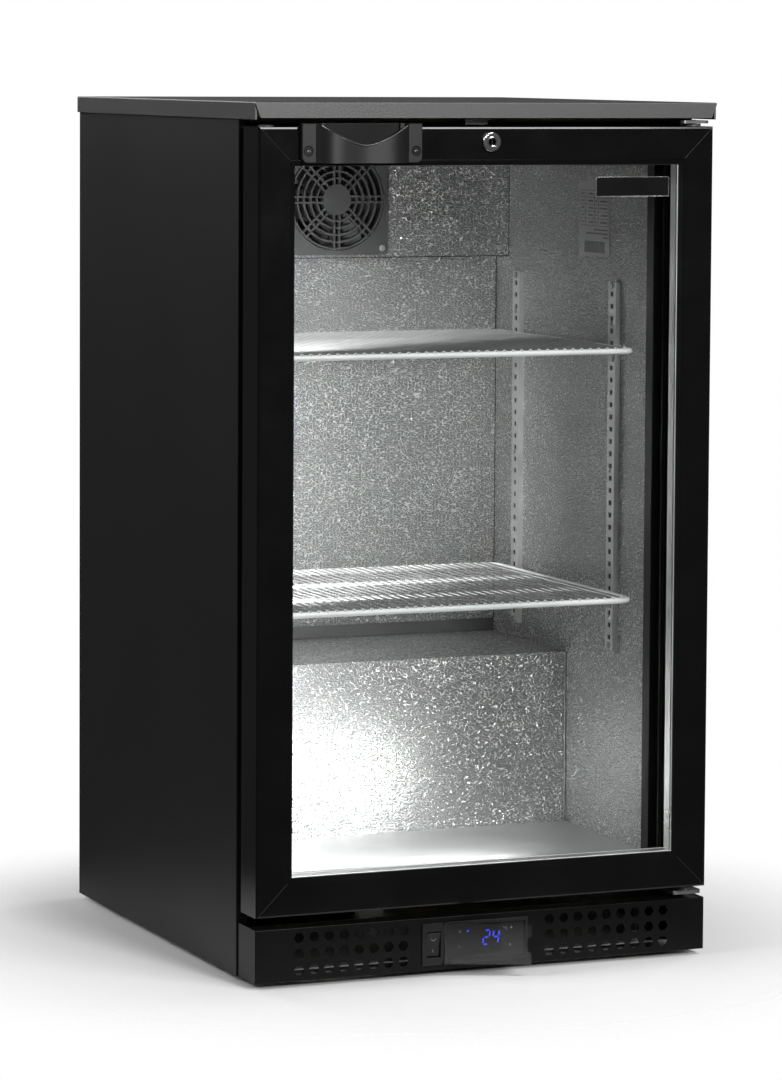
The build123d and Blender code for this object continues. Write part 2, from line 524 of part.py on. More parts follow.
# Blank plate stuck on the glass, top right.
with BuildPart() as badge_plate:
    block((116.3, 197.3), (GLASS_FRONT - 1.4, GLASS_FRONT), (778.0, 797.4))
    fillet(badge_plate.edges().filter_by(Axis.Y), 1.5)
    chamfer(badge_plate.faces().sort_by(Axis.Y)[0].edges(), 0.4)
finish(badge_plate, "badge_plate")

# ---------------------------------------------------------------- shelves, rails and clips
RAIL_WIDTH = 17.0
RAIL_PROUD = 6.0
RAIL_Z = (301.0, 685.0)
RAIL_YS = (FRONT + 133.5, FRONT + 372.5)
SLOT_PITCH = 12.8
slot_count = int((RAIL_Z[1] - RAIL_Z[0] - 12) // SLOT_PITCH)
with BuildPart() as shelf_rails:
    for hand in (-1, 1):
        for y in RAIL_YS:
            wall = sorted((hand * INNER_HALF, hand * (INNER_HALF - RAIL_PROUD)))
            hollow = sorted((hand * (INNER_HALF + 1), hand * (INNER_HALF - RAIL_PROUD + 1.2)))
            block(wall, (y - RAIL_WIDTH / 2, y + RAIL_WIDTH / 2), RAIL_Z)
            block(hollow, (y - RAIL_WIDTH / 2 + 3.5, y + RAIL_WIDTH / 2 - 3.5),
                  (RAIL_Z[0] - 1, RAIL_Z[1] + 1), Mode.SUBTRACT)
    with BuildSketch(Plane.YZ):
        for y in RAIL_YS:
            with Locations((y, sum(RAIL_Z) / 2)):
                with GridLocations(1, SLOT_PITCH, 1, slot_count):
                    Rectangle(6.0, 5.0)
    extrude(amount=INNER_HALF - 0.01, both=True, mode=Mode.SUBTRACT)
finish(shelf_rails, "shelf_rails")

SHELF_HALF = 197.0
SHELF_Y = (FRONT + 67.0, FRONT + 416.0)
TUBE = 3.0  # radius of the shelf's outer wire
WIRE = 1.3  # radius of the deck wires
CLIP_REACH = 13.0
with BuildPart() as shelf_clips:
    for shelf_z in SHELF_Z.values():
        top = shelf_z - TUBE - 0.1
        for hand in (-1, 1):
            face = hand * (INNER_HALF - RAIL_PROUD)
            for y in RAIL_YS:
                block(sorted((face, face - hand * CLIP_REACH)), (y - 5, y + 5), (top - 1.6, top))
                block(sorted((face, face - hand * 1.6)), (y - 5, y + 5), (top - 12, top))
finish(shelf_clips, "shelf_clips")

WIRE_COUNT = 39
wire_pitch = (2 * SHELF_HALF - 2 * TUBE - 4.0) / (WIRE_COUNT + 1)
for name, shelf_z in SHELF_Z.items():
    left, right = -SHELF_HALF + TUBE, SHELF_HALF - TUBE
    near, far = SHELF_Y[0] + TUBE, SHELF_Y[1] - TUBE
    with BuildPart() as shelf:
        with BuildLine(Plane.XY.offset(shelf_z)) as outline:
            FilletPolyline((left, near), (right, near), (right, far), (left, far), radius=14.0, close=True)
        with BuildSketch(Plane(origin=outline.line @ 0, z_dir=outline.line % 0)):
            Circle(TUBE)
        sweep(path=outline.line)
    with BuildPart() as deck:
        add(shelf.part)
        for y in (near + 115, near + 230):
            rod((left, y, shelf_z), (1, 0, 0), 2.0, right - left)
        for index in range(WIRE_COUNT):
            x = (index - (WIRE_COUNT - 1) / 2) * wire_pitch
            rod((x, SHELF_Y[0] + 0.5, shelf_z + TUBE + WIRE - 0.8), (0, 1, 0), WIRE,
                SHELF_Y[1] - SHELF_Y[0] - 1.0)
    finish(deck, name)

# ---------------------------------------------------------------- evaporator and duct
FAN_Z = 763.0
FAN_HALF = 59.5
with BuildPart() as evaporator_cover:
    with BuildSketch(Plane.YZ.offset(-INNER_HALF + 0.2)):
        Polygon((HOUSING_FRONT, HOUSING_Z), (HOUSING_FRONT, CEILING_Z - 0.2),
                (HOUSING_FRONT + 0.8, CEILING_Z - 0.2), (HOUSING_FRONT + 0.8, HOUSING_Z + 0.8),
                (LINER_BACK - 0.2, HOUSING_Z + 0.8), (LINER_BACK - 0.2, HOUSING_Z), align=None)
    extrude(amount=2 * INNER_HALF - 0.4)
    rod((0, HOUSING_FRONT - 1, FAN_Z), (0, 1, 0), 56.0, 4, Mode.SUBTRACT)
    for x in (-150, 0, 150):
        block((x - 50, x + 50), (DUCT_FRONT + 4, DUCT_FRONT + 22), (HOUSING_Z - 1, HOUSING_Z + 2),
              Mode.SUBTRACT)
finish(evaporator_cover, "evaporator_cover")

with BuildPart() as evaporator_coil:
    block((-180, 180), (LINER_BACK - 30, LINER_BACK - 4), (712, 812))
    for z in range(722, 812, 20):
        for y in (LINER_BACK - 24, LINER_BACK - 10):
            rod((-190, y, z), (1, 0, 0), 4.0, 380)
    for index in range(1, 24):
        x = -180 + index * 15
        block((x - 1.2, x + 1.2), (LINER_BACK - 31, LINER_BACK - 28), (711, 813), Mode.SUBTRACT)
finish(evaporator_coil, "evaporator_coil")

FAN_DEPTH = 25.0
fan_back = HOUSING_FRONT + 1.0
with BuildPart() as evaporator_fan_frame:
    block((-FAN_HALF, FAN_HALF), (fan_back, fan_back + FAN_DEPTH), (FAN_Z - FAN_HALF, FAN_Z + FAN_HALF))
    fillet(evaporator_fan_frame.edges().filter_by(Axis.Y), 4.0)
    rod((0, fan_back - 1, FAN_Z), (0, 1, 0), 56.5, FAN_DEPTH + 2, Mode.SUBTRACT)
    rod((0, fan_back + FAN_DEPTH, FAN_Z), (0, -1, 0), 18.0, 3.0)
    for angle in (45, 165, 285):
        with Locations(Plane(origin=(0, fan_back + FAN_DEPTH - 1.5, FAN_Z), z_dir=(0, 1, 0))):
            with Locations(Rotation(0, 0, angle)):
                Box(58, 5, 3, align=(Align.MIN, Align.CENTER, Align.CENTER))
    rod((0, fan_back + FAN_DEPTH, FAN_Z), (0, -1, 0), 2.0, 14.0)
finish(evaporator_fan_frame, "evaporator_fan_frame")


def fan_rotor(centre, axis, hub_radius, tip_radius, hub_depth, chord, blades, bore, tilt):
    """A hub with flat tilted blades, open at the back for its stub shaft."""
    disc = Plane(origin=centre, z_dir=axis)
    span = tip_radius - hub_radius + 2
    with BuildPart() as blade_ring:
        with Locations(disc):
            with PolarLocations(hub_radius - 2 + span / 2, blades):
                with Locations(Rotation(tilt, 0, 0)):
                    Box(span, chord, 1.8)
    with BuildPart() as outer:
        with Locations(disc):
            Cylinder(tip_radius, chord * 2, mode=Mode.ADD)
    with BuildPart() as rotor:
        add(blade_ring.part)
        add(outer.part, mode=Mode.INTERSECT)
        with Locations(disc):
            Cylinder(hub_radius, hub_depth)
            Cylinder(bore, hub_depth * 3, mode=Mode.SUBTRACT)
    return rotor


evaporator_fan_rotor = fan_rotor((0, fan_back + 10.5, FAN_Z), (0, 1, 0), 17.0, 54.0, 15.0, 26.0,
                                 7, 2.0 + FIT, 35)
finish(evaporator_fan_rotor, "evaporator_fan_rotor")

# Guard: flat rings and eight double bars inside a square frame.
GUARD_Y = (HOUSING_FRONT - 3.6, HOUSING_FRONT)
with BuildPart() as evaporator_fan_grille:
    with BuildSketch(Plane.XZ.offset(-GUARD_Y[1])):
        with Locations((0, FAN_Z)):
            RectangleRounded(2 * FAN_HALF, 2 * FAN_HALF, 4.0)
            Circle(55.0, mode=Mode.SUBTRACT)
            for radius in (53.0, 45.5, 38.0, 30.5, 23.0):
                Circle(radius + 1.0)
                Circle(radius - 1.0, mode=Mode.SUBTRACT)
                for angle in (0, 45, 90, 135):
                    with Locations(Rotation(0, 0, angle)):
                        with Locations((0, 3.1), (0, -3.1)):
                            Rectangle(110.5, 2.0)
            Circle(16.5)
    extrude(amount=GUARD_Y[1] - GUARD_Y[0])
finish(evaporator_fan_grille, "evaporator_fan_grille")

with BuildPart() as rear_duct_panel:
    block((-INNER_HALF + 0.2, INNER_HALF - 0.2), (DUCT_FRONT, DUCT_FRONT + 0.8),
          (STEP_Z + 14, HOUSING_Z - 0.2))
finish(rear_duct_panel, "rear_duct_panel")

# ---------------------------------------------------------------- lamp
with BuildPart() as led_lamp:
    block((-INNER_HALF + 0.1, -INNER_HALF + 7), (LINER_FRONT + 1, LINER_FRONT + 19), (150.0, 780.0))
    fillet(led_lamp.edges().filter_by(Axis.Z).sort_by(Axis.X)[-2:], 3.0)
finish(led_lamp, "led_lamp")

# ---------------------------------------------------------------- screws, all alike
screw_places = [
    ((x, HOUSING_FRONT, z), (0, -1, 0)) for x in (-193.8, 193.8) for z in (710.0, 815.0)
] + [
    ((x, DUCT_FRONT, z), (0, -1, 0)) for x in (-198.0, 198.0) for z in (310.0, 490.0, 668.0)
] + [
    ((239.5, FLANGE_Y[0], z), (0, -1, 0)) for z in (822.0, 838.0, 80.0, 98.0)
] + [
    ((hand * (INNER_HALF - RAIL_PROUD), y, z), (-hand, 0, 0))
    for hand in (-1, 1) for y in RAIL_YS for z in (RAIL_Z[0] + 4, RAIL_Z[1] - 4)
] + [
    ((x, GUARD_Y[0], FAN_Z + dz), (0, -1, 0)) for x in (-52.5, 52.5) for dz in (-52.5, 52.5)
]
with BuildPart() as cabinet_screws:
    for place, way in screw_places:
        rod(place, way, 3.4, 1.8)
    fillet(cabinet_screws.edges().filter_by(GeomType.CIRCLE), 0.6)
finish(cabinet_screws, "cabinet_screws")

# ---------------------------------------------------------------- compressor compartment
COMPRESSOR = (-110.0, FRONT + 400.0)
pan_top = PAN_Z + PAN_THICK
with BuildPart() as compressor:
    rod((*COMPRESSOR, pan_top + 14), (0, 0, 1), 74.0, 160)
    fillet(compressor.edges().group_by(Axis.Z)[-1], 48.0)
    fillet(compressor.edges().group_by(Axis.Z)[0], 20.0)
    rod((*COMPRESSOR, pan_top + 88), (0, 0, 1), 76.0, 5)
    for dx in (-62, 62):
        for dy in (-52, 52):
            with Locations((COMPRESSOR[0] + dx * 0.85, COMPRESSOR[1] + dy * 0.85, pan_top + 15.5)):
                Box(34, 30, 3)
            rod((COMPRESSOR[0] + dx, COMPRESSOR[1] + dy, pan_top), (0, 0, 1), 9.0, 14.5)
finish(compressor, "compressor")

with BuildPart() as condensate_tray:
    tray = ((-190.0, -20.0), (FRONT + 293.0, FRONT + 323.0), (pan_top, pan_top + 28))
    block(*tray)
    block((tray[0][0] + 1.5, tray[0][1] - 1.5), (tray[1][0] + 1.5, tray[1][1] - 1.5),
          (pan_top + 1.5, pan_top + 29), Mode.SUBTRACT)
finish(condensate_tray, "condensate_tray")

CONDENSER_X = (15.0, 190.0)
with BuildPart() as condenser:
    block(CONDENSER_X, (FRONT + 300, FRONT + 340), (pan_top, pan_top + 200))
    for z in range(20, 200, 25):
        for y in (FRONT + 312, FRONT + 328):
            rod((CONDENSER_X[0] - 8, y, pan_top + z), (1, 0, 0), 4.0, CONDENSER_X[1] - CONDENSER_X[0] + 16)
finish(condenser, "condenser")

CONDENSER_FAN = (sum(CONDENSER_X) / 2, FRONT + 360.0, pan_top + 100.0)
with BuildPart() as condenser_fan_frame:
    block(CONDENSER_X, (FRONT + 342, FRONT + 344), (pan_top, pan_top + 200))
    rod((CONDENSER_FAN[0], FRONT + 341, CONDENSER_FAN[2]), (0, 1, 0), 82.0, 30)
    rod((CONDENSER_FAN[0], FRONT + 330, CONDENSER_FAN[2]), (0, 1, 0), 80.0, 60, Mode.SUBTRACT)
    for angle in (90, 210, 330):
        with Locations(Plane(origin=(CONDENSER_FAN[0], FRONT + 384, CONDENSER_FAN[2]), z_dir=(0, 1, 0))):
            with Locations(Rotation(0, 0, angle)):
                Box(81.5, 8, 3, align=(Align.MIN, Align.CENTER, Align.CENTER))
                with Locations((80.8, 0, -8.0)):
                    Box(1.8, 8, 16)
    rod((CONDENSER_FAN[0], FRONT + 382, CONDENSER_FAN[2]), (0, 1, 0), 28.0, 40)
    rod((CONDENSER_FAN[0], FRONT + 350, CONDENSER_FAN[2]), (0, 1, 0), 3.0, 40)
finish(condenser_fan_frame, "condenser_fan_frame")

condenser_fan_rotor = fan_rotor((CONDENSER_FAN[0], FRONT + 362, CONDENSER_FAN[2]), (0, 1, 0), 20.0,
                                76.0, 20.0, 40.0, 5, 3.0 + FIT, 28)
finish(condenser_fan_rotor, "condenser_fan_rotor")

with BuildPart() as electrical_box:
    block((-203.0, -188.0), (FRONT + 440, FRONT + 520), (60.0, 160.0))
    fillet(electrical_box.edges().filter_by(Axis.X), 4.0)
finish(electrical_box, "electrical_box")

PIPE = 3.2
with BuildPart() as refrigerant_pipes:
    with BuildLine() as discharge:
        FilletPolyline((COMPRESSOR[0] + 76, COMPRESSOR[1] + 40, 120), (0.0, COMPRESSOR[1] + 40, 120),
                       (0.0, COMPRESSOR[1] + 40, 225), (0.0, FRONT + 320, 225), radius=16.0)
    with BuildSketch(Plane(origin=discharge.line @ 0, z_dir=discharge.line % 0)):
        Circle(PIPE)
    sweep(path=discharge.line)
finish(refrigerant_pipes, "refrigerant_pipes")

# Louvred cover over the back of the compartment, with the cable gland in its corner.
GLAND = (200.0, 50.0)
with BuildPart() as rear_grille:
    block((-SIDE + SHEET, SIDE - SHEET), (CASING_BACK - SHEET, CASING_BACK),
          (PAN_Z + PAN_THICK + 9, COMPARTMENT_TOP + 3.8))
    with BuildSketch(Plane.XZ.offset(-CASING_BACK)):
        with Locations((0, 140)):
            with GridLocations(110, 13, 3, 12):
                SlotOverall(90, 5)
    extrude(amount=5, both=True, mode=Mode.SUBTRACT)
    rod((GLAND[0], CASING_BACK - 5, GLAND[1]), (0, 1, 0), 8.0, 10, Mode.SUBTRACT)
finish(rear_grille, "rear_grille")

with BuildPart() as cable_gland:
    rod((GLAND[0], CASING_BACK - 12, GLAND[1]), (0, 1, 0), 8.0, 12)
    with BuildSketch(Plane.XZ.offset(-CASING_BACK)):
        with Locations(GLAND):
            RegularPolygon(11.5, 6)
    extrude(amount=-1.9)
    rod((GLAND[0], CASING_BACK - 20, GLAND[1]), (0, 1, 0), 4.0, 40, Mode.SUBTRACT)
finish(cable_gland, "cable_gland")
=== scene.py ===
import json
import math

import bmesh
import bpy
from mathutils import Matrix, Vector


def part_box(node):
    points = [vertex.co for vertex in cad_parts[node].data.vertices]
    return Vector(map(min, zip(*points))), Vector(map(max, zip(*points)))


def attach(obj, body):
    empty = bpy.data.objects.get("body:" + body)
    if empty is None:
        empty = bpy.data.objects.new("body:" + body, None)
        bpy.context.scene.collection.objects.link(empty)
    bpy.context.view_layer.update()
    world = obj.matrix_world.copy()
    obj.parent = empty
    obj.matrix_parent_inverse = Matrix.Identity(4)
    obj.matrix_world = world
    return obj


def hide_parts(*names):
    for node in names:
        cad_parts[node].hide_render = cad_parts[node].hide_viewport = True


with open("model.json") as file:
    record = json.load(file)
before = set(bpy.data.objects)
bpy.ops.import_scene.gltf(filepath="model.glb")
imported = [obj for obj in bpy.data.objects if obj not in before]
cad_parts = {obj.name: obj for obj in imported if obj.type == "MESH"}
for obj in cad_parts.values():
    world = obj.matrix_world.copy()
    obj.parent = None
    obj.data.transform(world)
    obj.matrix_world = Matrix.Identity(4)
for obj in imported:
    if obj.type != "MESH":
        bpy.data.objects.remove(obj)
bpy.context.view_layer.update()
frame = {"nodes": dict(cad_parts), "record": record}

MM = 0.001
NODES = frame["nodes"]
SLOT_OF = {row["node"]: row["material_slot"] for row in frame["record"]["subparts"]}
MATERIALS = {}


# ---------------------------------------------------------------- shader helpers
def shader(name, colour, roughness, metallic=0.0, specular=0.5):
    """A principled material with its even values set on the shader itself."""
    mat = bpy.data.materials.new(name)
    mat.use_nodes = True
    bsdf = mat.node_tree.nodes["Principled BSDF"]
    bsdf.inputs["Base Color"].default_value = (*colour, 1.0)
    bsdf.inputs["Roughness"].default_value = roughness
    bsdf.inputs["Metallic"].default_value = metallic
    bsdf.inputs["Specular IOR Level"].default_value = specular
    mat.diffuse_color = (*colour, 1.0)
    MATERIALS[name] = mat
    return mat.node_tree, bsdf


def noise(tree, scale, detail=2.0, stretch=(1.0, 1.0, 1.0), kind="FBM", distortion=0.0):
    """Noise in object space; scale is in features per metre."""
    place = tree.nodes.new("ShaderNodeTexCoord")
    mapping = tree.nodes.new("ShaderNodeMapping")
    mapping.inputs["Scale"].default_value = stretch
    texture = tree.nodes.new("ShaderNodeTexNoise")
    texture.noise_type = kind
    texture.inputs["Scale"].default_value = scale
    texture.inputs["Detail"].default_value = detail
    texture.inputs["Distortion"].default_value = distortion
    tree.links.new(place.outputs["Object"], mapping.inputs["Vector"])
    tree.links.new(mapping.outputs["Vector"], texture.inputs["Vector"])
    return texture.outputs["Fac"]


def spread(tree, source, low, high, start=0.3, end=0.7):
    """Maps a texture's middle range onto low..high."""
    node = tree.nodes.new("ShaderNodeMapRange")
    node.inputs["From Min"].default_value = start
    node.inputs["From Max"].default_value = end
    node.inputs["To Min"].default_value = low
    node.inputs["To Max"].default_value = high
    tree.links.new(source, node.inputs["Value"])
    return node.outputs["Result"]


def tint(tree, bsdf, source, dark, light):
    """Base colour that runs between two colours, following the given mask."""
    ramp = tree.nodes.new("ShaderNodeValToRGB")
    ramp.color_ramp.elements[0].position = 0.3
    ramp.color_ramp.elements[1].position = 0.7
    ramp.color_ramp.elements[0].color = (*dark, 1.0)
    ramp.color_ramp.elements[1].color = (*light, 1.0)
    tree.links.new(source, ramp.inputs["Fac"])
    tree.links.new(ramp.outputs["Color"], bsdf.inputs["Base Color"])


def relief(tree, bsdf, source, height, strength=1.0):
    """Bump of a real height in metres."""
    bump = tree.nodes.new("ShaderNodeBump")
    bump.inputs["Distance"].default_value = height
    bump.inputs["Strength"].default_value = strength
    tree.links.new(source, bump.inputs["Height"])
    tree.links.new(bump.outputs["Normal"], bsdf.inputs["Normal"])


def even(value):
    return (value, value, value)


def plain_finish(name, colour, roughness, metallic=0.0, specular=0.5, grain=900.0, height=0.00004,
                 swing=0.12):
    """A surface whose tone and gloss drift slightly, with a fine grain."""
    tree, bsdf = shader(name, colour, roughness, metallic, specular)
    cloud = noise(tree, 14.0, 3.0)
    tint(tree, bsdf, cloud, [c * (1.0 - swing) for c in colour], [c * (1.0 + swing) for c in colour])
    tree.links.new(spread(tree, cloud, roughness * 0.9, roughness * 1.1), bsdf.inputs["Roughness"])
    relief(tree, bsdf, noise(tree, grain, 2.0), height)
    return tree, bsdf


# ---------------------------------------------------------------- materials
def casing_black():
    """Powder-coated sheet, satin, with a fine orange peel."""
    tree, bsdf = shader("casing_black", even(0.0125), 0.42, 0.0, 0.2)
    cloud = noise(tree, 5.0, 3.0)
    tint(tree, bsdf, cloud, even(0.0155), even(0.0175))
    tree.links.new(spread(tree, cloud, 0.39, 0.45), bsdf.inputs["Roughness"])
    relief(tree, bsdf, noise(tree, 1500.0, 1.0), 0.00003)


def worktop_black():
    """Textured powder coat on the worktop, greyer and rougher than the casing."""
    tree, bsdf = shader("worktop_black", even(0.05), 0.5, 0.0, 0.7)
    speckle = noise(tree, 1100.0, 3.0)
    tint(tree, bsdf, speckle, even(0.036), even(0.066))
    tree.links.new(spread(tree, speckle, 0.36, 0.50), bsdf.inputs["Roughness"])
    relief(tree, bsdf, speckle, 0.00018)


def door_black():
    """Gloss-anodised door profiles with faint drawing lines."""
    tree, bsdf = shader("door_black", even(0.0035), 0.13, 0.0, 0.35)
    smear = noise(tree, 22.0, 4.0)
    tint(tree, bsdf, smear, even(0.0031), even(0.0040))
    tree.links.new(spread(tree, smear, 0.10, 0.17), bsdf.inputs["Roughness"])
    relief(tree, bsdf, noise(tree, 260.0, 1.0), 0.000012)


def plinth_black():
    """Gloss painted plinth."""
    tree, bsdf = shader("plinth_black", even(0.0045), 0.2, 0.0, 0.1)
    smear = noise(tree, 18.0, 3.0)
    tint(tree, bsdf, smear, even(0.0040), even(0.0052))
    tree.links.new(spread(tree, smear, 0.17, 0.25), bsdf.inputs["Roughness"])
    relief(tree, bsdf, noise(tree, 900.0, 1.0), 0.00002)


def stucco_aluminium():
    """Stucco-embossed sheet: short winding ridges a few millimetres apart, with the ridges painted pale as
    highlight and the flats painted dark as shade over the bump's relief.
    """
    tree, bsdf = shader("stucco_aluminium", even(0.45), 0.36, 0.95)
    field = noise(tree, 320.0, 0.3, stretch=(0.75, 0.75, 1.25), distortion=0.35)
    centred = tree.nodes.new("ShaderNodeMath")
    centred.operation = "SUBTRACT"
    centred.inputs[1].default_value = 0.5
    tree.links.new(field, centred.inputs[0])
    folded = tree.nodes.new("ShaderNodeMath")
    folded.operation = "ABSOLUTE"
    tree.links.new(centred.outputs["Value"], folded.inputs[0])
    ridges = spread(tree, folded.outputs["Value"], 1.0, 0.0, 0.0, 0.085)
    # Painted highlight and shade: the ridge lines get a pale base colour and the flats between them a dark
    # one.
    tint(tree, bsdf, ridges, even(0.24), even(0.78))
    tree.links.new(spread(tree, ridges, 0.34, 0.27, 0.0, 1.0), bsdf.inputs["Roughness"])
    relief(tree, bsdf, ridges, 0.0011)


def plain_aluminium():
    """Rolled sheet with a faint lengthwise grain."""
    tree, bsdf = shader("plain_aluminium", even(0.50), 0.38, 0.9)
    rolled = noise(tree, 60.0, 4.0, stretch=(0.25, 6.0, 6.0))
    tint(tree, bsdf, rolled, even(0.45), even(0.54))
    tree.links.new(spread(tree, rolled, 0.32, 0.44), bsdf.inputs["Roughness"])
    relief(tree, bsdf, rolled, 0.00006)


def galvanised_steel():
    """Zinc spangle on the back panel and base pan."""
    tree, bsdf = shader("galvanised_steel", even(0.42), 0.42, 0.85)
    place = tree.nodes.new("ShaderNodeTexCoord")
    spangle = tree.nodes.new("ShaderNodeTexVoronoi")
    spangle.inputs["Scale"].default_value = 170.0
    tree.links.new(place.outputs["Object"], spangle.inputs["Vector"])
    tint(tree, bsdf, spangle.outputs["Color"], even(0.44), even(0.50))
    tree.links.new(spread(tree, spangle.outputs["Color"], 0.40, 0.47), bsdf.inputs["Roughness"])
    relief(tree, bsdf, noise(tree, 700.0), 0.00003)


def glass():
    """Thin clear pane: mostly see-through, with a mirror that grows at low angles."""
    tree, bsdf = shader("glass", even(0.9), 0.0)
    tree.nodes.remove(bsdf)
    out = tree.nodes["Material Output"]
    clear = tree.nodes.new("ShaderNodeBsdfTransparent")
    clear.inputs["Color"].default_value = (0.975, 0.98, 0.978, 1.0)
    gloss = tree.nodes.new("ShaderNodeBsdfGlossy")
    gloss.inputs["Roughness"].default_value = 0.02
    gloss.inputs["Color"].default_value = (1.0, 1.0, 1.0, 1.0)
    facing = tree.nodes.new("ShaderNodeFresnel")
    facing.inputs["IOR"].default_value = 1.12
    smudge = noise(tree, 9.0, 3.0)
    tree.links.new(spread(tree, smudge, 0.015, 0.03), gloss.inputs["Roughness"])
    mix = tree.nodes.new("ShaderNodeMixShader")
    tree.links.new(facing.outputs["Fac"], mix.inputs["Fac"])
    tree.links.new(clear.outputs["BSDF"], mix.inputs[1])
    tree.links.new(gloss.outputs["BSDF"], mix.inputs[2])
    tree.links.new(mix.outputs["Shader"], out.inputs["Surface"])


def clear_plastic():
    """Smoky flap: see-through with a soft sheen."""
    tree, bsdf = shader("clear_plastic", even(0.5), 0.1)
    tree.nodes.remove(bsdf)
    out = tree.nodes["Material Output"]
    clear = tree.nodes.new("ShaderNodeBsdfTransparent")
    clear.inputs["Color"].default_value = (0.80, 0.80, 0.81, 1.0)
    gloss = tree.nodes.new("ShaderNodeBsdfGlossy")
    gloss.inputs["Color"].default_value = (1.0, 1.0, 1.0, 1.0)
    facing = tree.nodes.new("ShaderNodeFresnel")
    facing.inputs["IOR"].default_value = 1.45
    haze = noise(tree, 60.0, 3.0)
    tree.links.new(spread(tree, haze, 0.06, 0.14), gloss.inputs["Roughness"])
    mix = tree.nodes.new("ShaderNodeMixShader")
    tree.links.new(facing.outputs["Fac"], mix.inputs["Fac"])
    tree.links.new(clear.outputs["BSDF"], mix.inputs[1])
    tree.links.new(gloss.outputs["BSDF"], mix.inputs[2])
    tree.links.new(mix.outputs["Shader"], out.inputs["Surface"])


def handle_plastic():
    """Grained dark grey plastic."""
    tree, bsdf = shader("handle_plastic", even(0.02), 0.4, 0.0, 0.35)
    pebble = noise(tree, 1300.0, 2.0)
    tint(tree, bsdf, pebble, even(0.007), even(0.011))
    tree.links.new(spread(tree, pebble, 0.34, 0.46), bsdf.inputs["Roughness"])
    relief(tree, bsdf, pebble, 0.00008)


def foam():
    """Cut polyurethane foam edge."""
    tree, bsdf = shader("foam", (0.62, 0.52, 0.30), 0.9)
    cells = noise(tree, 500.0, 4.0)
    tint(tree, bsdf, cells, (0.52, 0.43, 0.24), (0.68, 0.58, 0.36))
    relief(tree, bsdf, cells, 0.0006)


def lamp_lens():
    """Lit frosted lamp cover."""
    bsdf = plain_finish("lamp_lens", even(0.8), 0.4, grain=300.0)[1]
    bsdf.inputs["Emission Color"].default_value = (1.0, 0.98, 0.95, 1.0)
    bsdf.inputs["Emission Strength"].default_value = 2.5


def display_lens():
    """Dark glossy window of the thermostat."""
    plain_finish("display_lens", even(0.006), 0.16, specular=0.4, grain=200.0, height=0.00001)


def lit_blue():
    tree, bsdf = shader("lit_blue", (0.01, 0.03, 0.5), 0.4)
    glow = noise(tree, 300.0, 1.0)
    tint(tree, bsdf, glow, (0.008, 0.02, 0.45), (0.012, 0.035, 0.55))
    bsdf.inputs["Emission Color"].default_value = (0.04, 0.06, 1.0, 1.0)
    bsdf.inputs["Emission Strength"].default_value = 1.3


def make_simple_materials():
    """Finishes that differ only in their numbers."""
    rows = {
        "black_plastic": (even(0.006), 0.36, 0.0, 0.3, 1200.0, 0.00004),
        "gasket_rubber": (even(0.009), 0.55, 0.0, 0.4, 900.0, 0.00005),
        "spacer_aluminium": (even(0.72), 0.3, 0.9, 0.5, 700.0, 0.00003),
        "rail_steel": (even(0.60), 0.34, 0.9, 0.5, 500.0, 0.00003),
        "zinc_steel": (even(0.32), 0.3, 0.9, 0.5, 400.0, 0.00003),
        "compressor_black": (even(0.015), 0.3, 0.0, 0.5, 200.0, 0.00008),
        "copper": ((0.60, 0.26, 0.13), 0.28, 0.95, 0.5, 300.0, 0.00003),
        "black_screws": (even(0.003), 0.35, 0.0, 0.25, 600.0, 0.00003),
        "lock_chrome": (even(0.75), 0.12, 1.0, 0.5, 200.0, 0.00001),
        "badge_black": (even(0.004), 0.22, 0.0, 0.3, 900.0, 0.00002),
        "bush_plastic": (even(0.10), 0.4, 0.0, 0.5, 900.0, 0.00003),
        "fan_plastic": (even(0.02), 0.4, 0.0, 0.5, 900.0, 0.00003),
        "deck_wire": (even(0.15), 0.34, 0.0, 0.5, 900.0, 0.00003),
        "white_wire": (even(0.78), 0.34, 0.0, 0.5, 900.0, 0.00003),
        "foot_plastic": (even(0.02), 0.5, 0.0, 0.4, 900.0, 0.00004),
        "breaker_black": (even(0.003), 0.5, 0.0, 0.12, 900.0, 0.00003),
        "coil_fins": (even(0.06), 0.4, 0.9, 0.5, 900.0, 0.00005),
        "guard_plastic": (even(0.017), 0.5, 0.0, 0.3, 900.0, 0.00005),
        "sealant": (even(0.05), 0.5, 0.0, 0.5, 300.0, 0.0001),
        "label_paper": (even(0.34), 0.6, 0.0, 0.3, 700.0, 0.00002),
        "label_ink": (even(0.03), 0.6, 0.0, 0.3, 700.0, 0.00002),
        "faint_print": (even(0.16), 0.5, 0.0, 0.3, 700.0, 0.00002),
        # Bright metal for painted edge highlights on the badge and screw recesses.
        "painted_edge_highlight": (even(0.5), 0.25, 0.9, 0.5, 500.0, 0.00001),
        # Painted shade for the air return gap.
        "return_shade": (even(0.02), 0.5, 0.0, 0.4, 500.0, 0.00003),
        # Painted highlight on the glazing bead edges.
        "bead_painted_highlight": (even(0.80), 0.3, 0.6, 0.5, 900.0, 0.00001),
        # Near-black used for dark joints and as painted shade in gaps, slots, recesses and behind the fan
        # grille.
        "dark_joint_and_painted_shade": (even(0.002), 0.6, 0.0, 0.2, 500.0, 0.00003),
        # Paler, glossier grey than the handle plastic: a painted highlight on the lip over its real gloss.
        "lip_gloss_painted_highlight": (even(0.05), 0.22, 0.0, 0.6, 900.0, 0.00001),
        # Paler than the door profiles: a painted highlight along the mitre joints.
        "seam_painted_highlight": (even(0.03), 0.35, 0.0, 0.5, 900.0, 0.00001),
    }
    for name, (colour, rough, metal, spec, grain, height) in rows.items():
        plain_finish(name, colour, rough, metal, spec, grain, height)


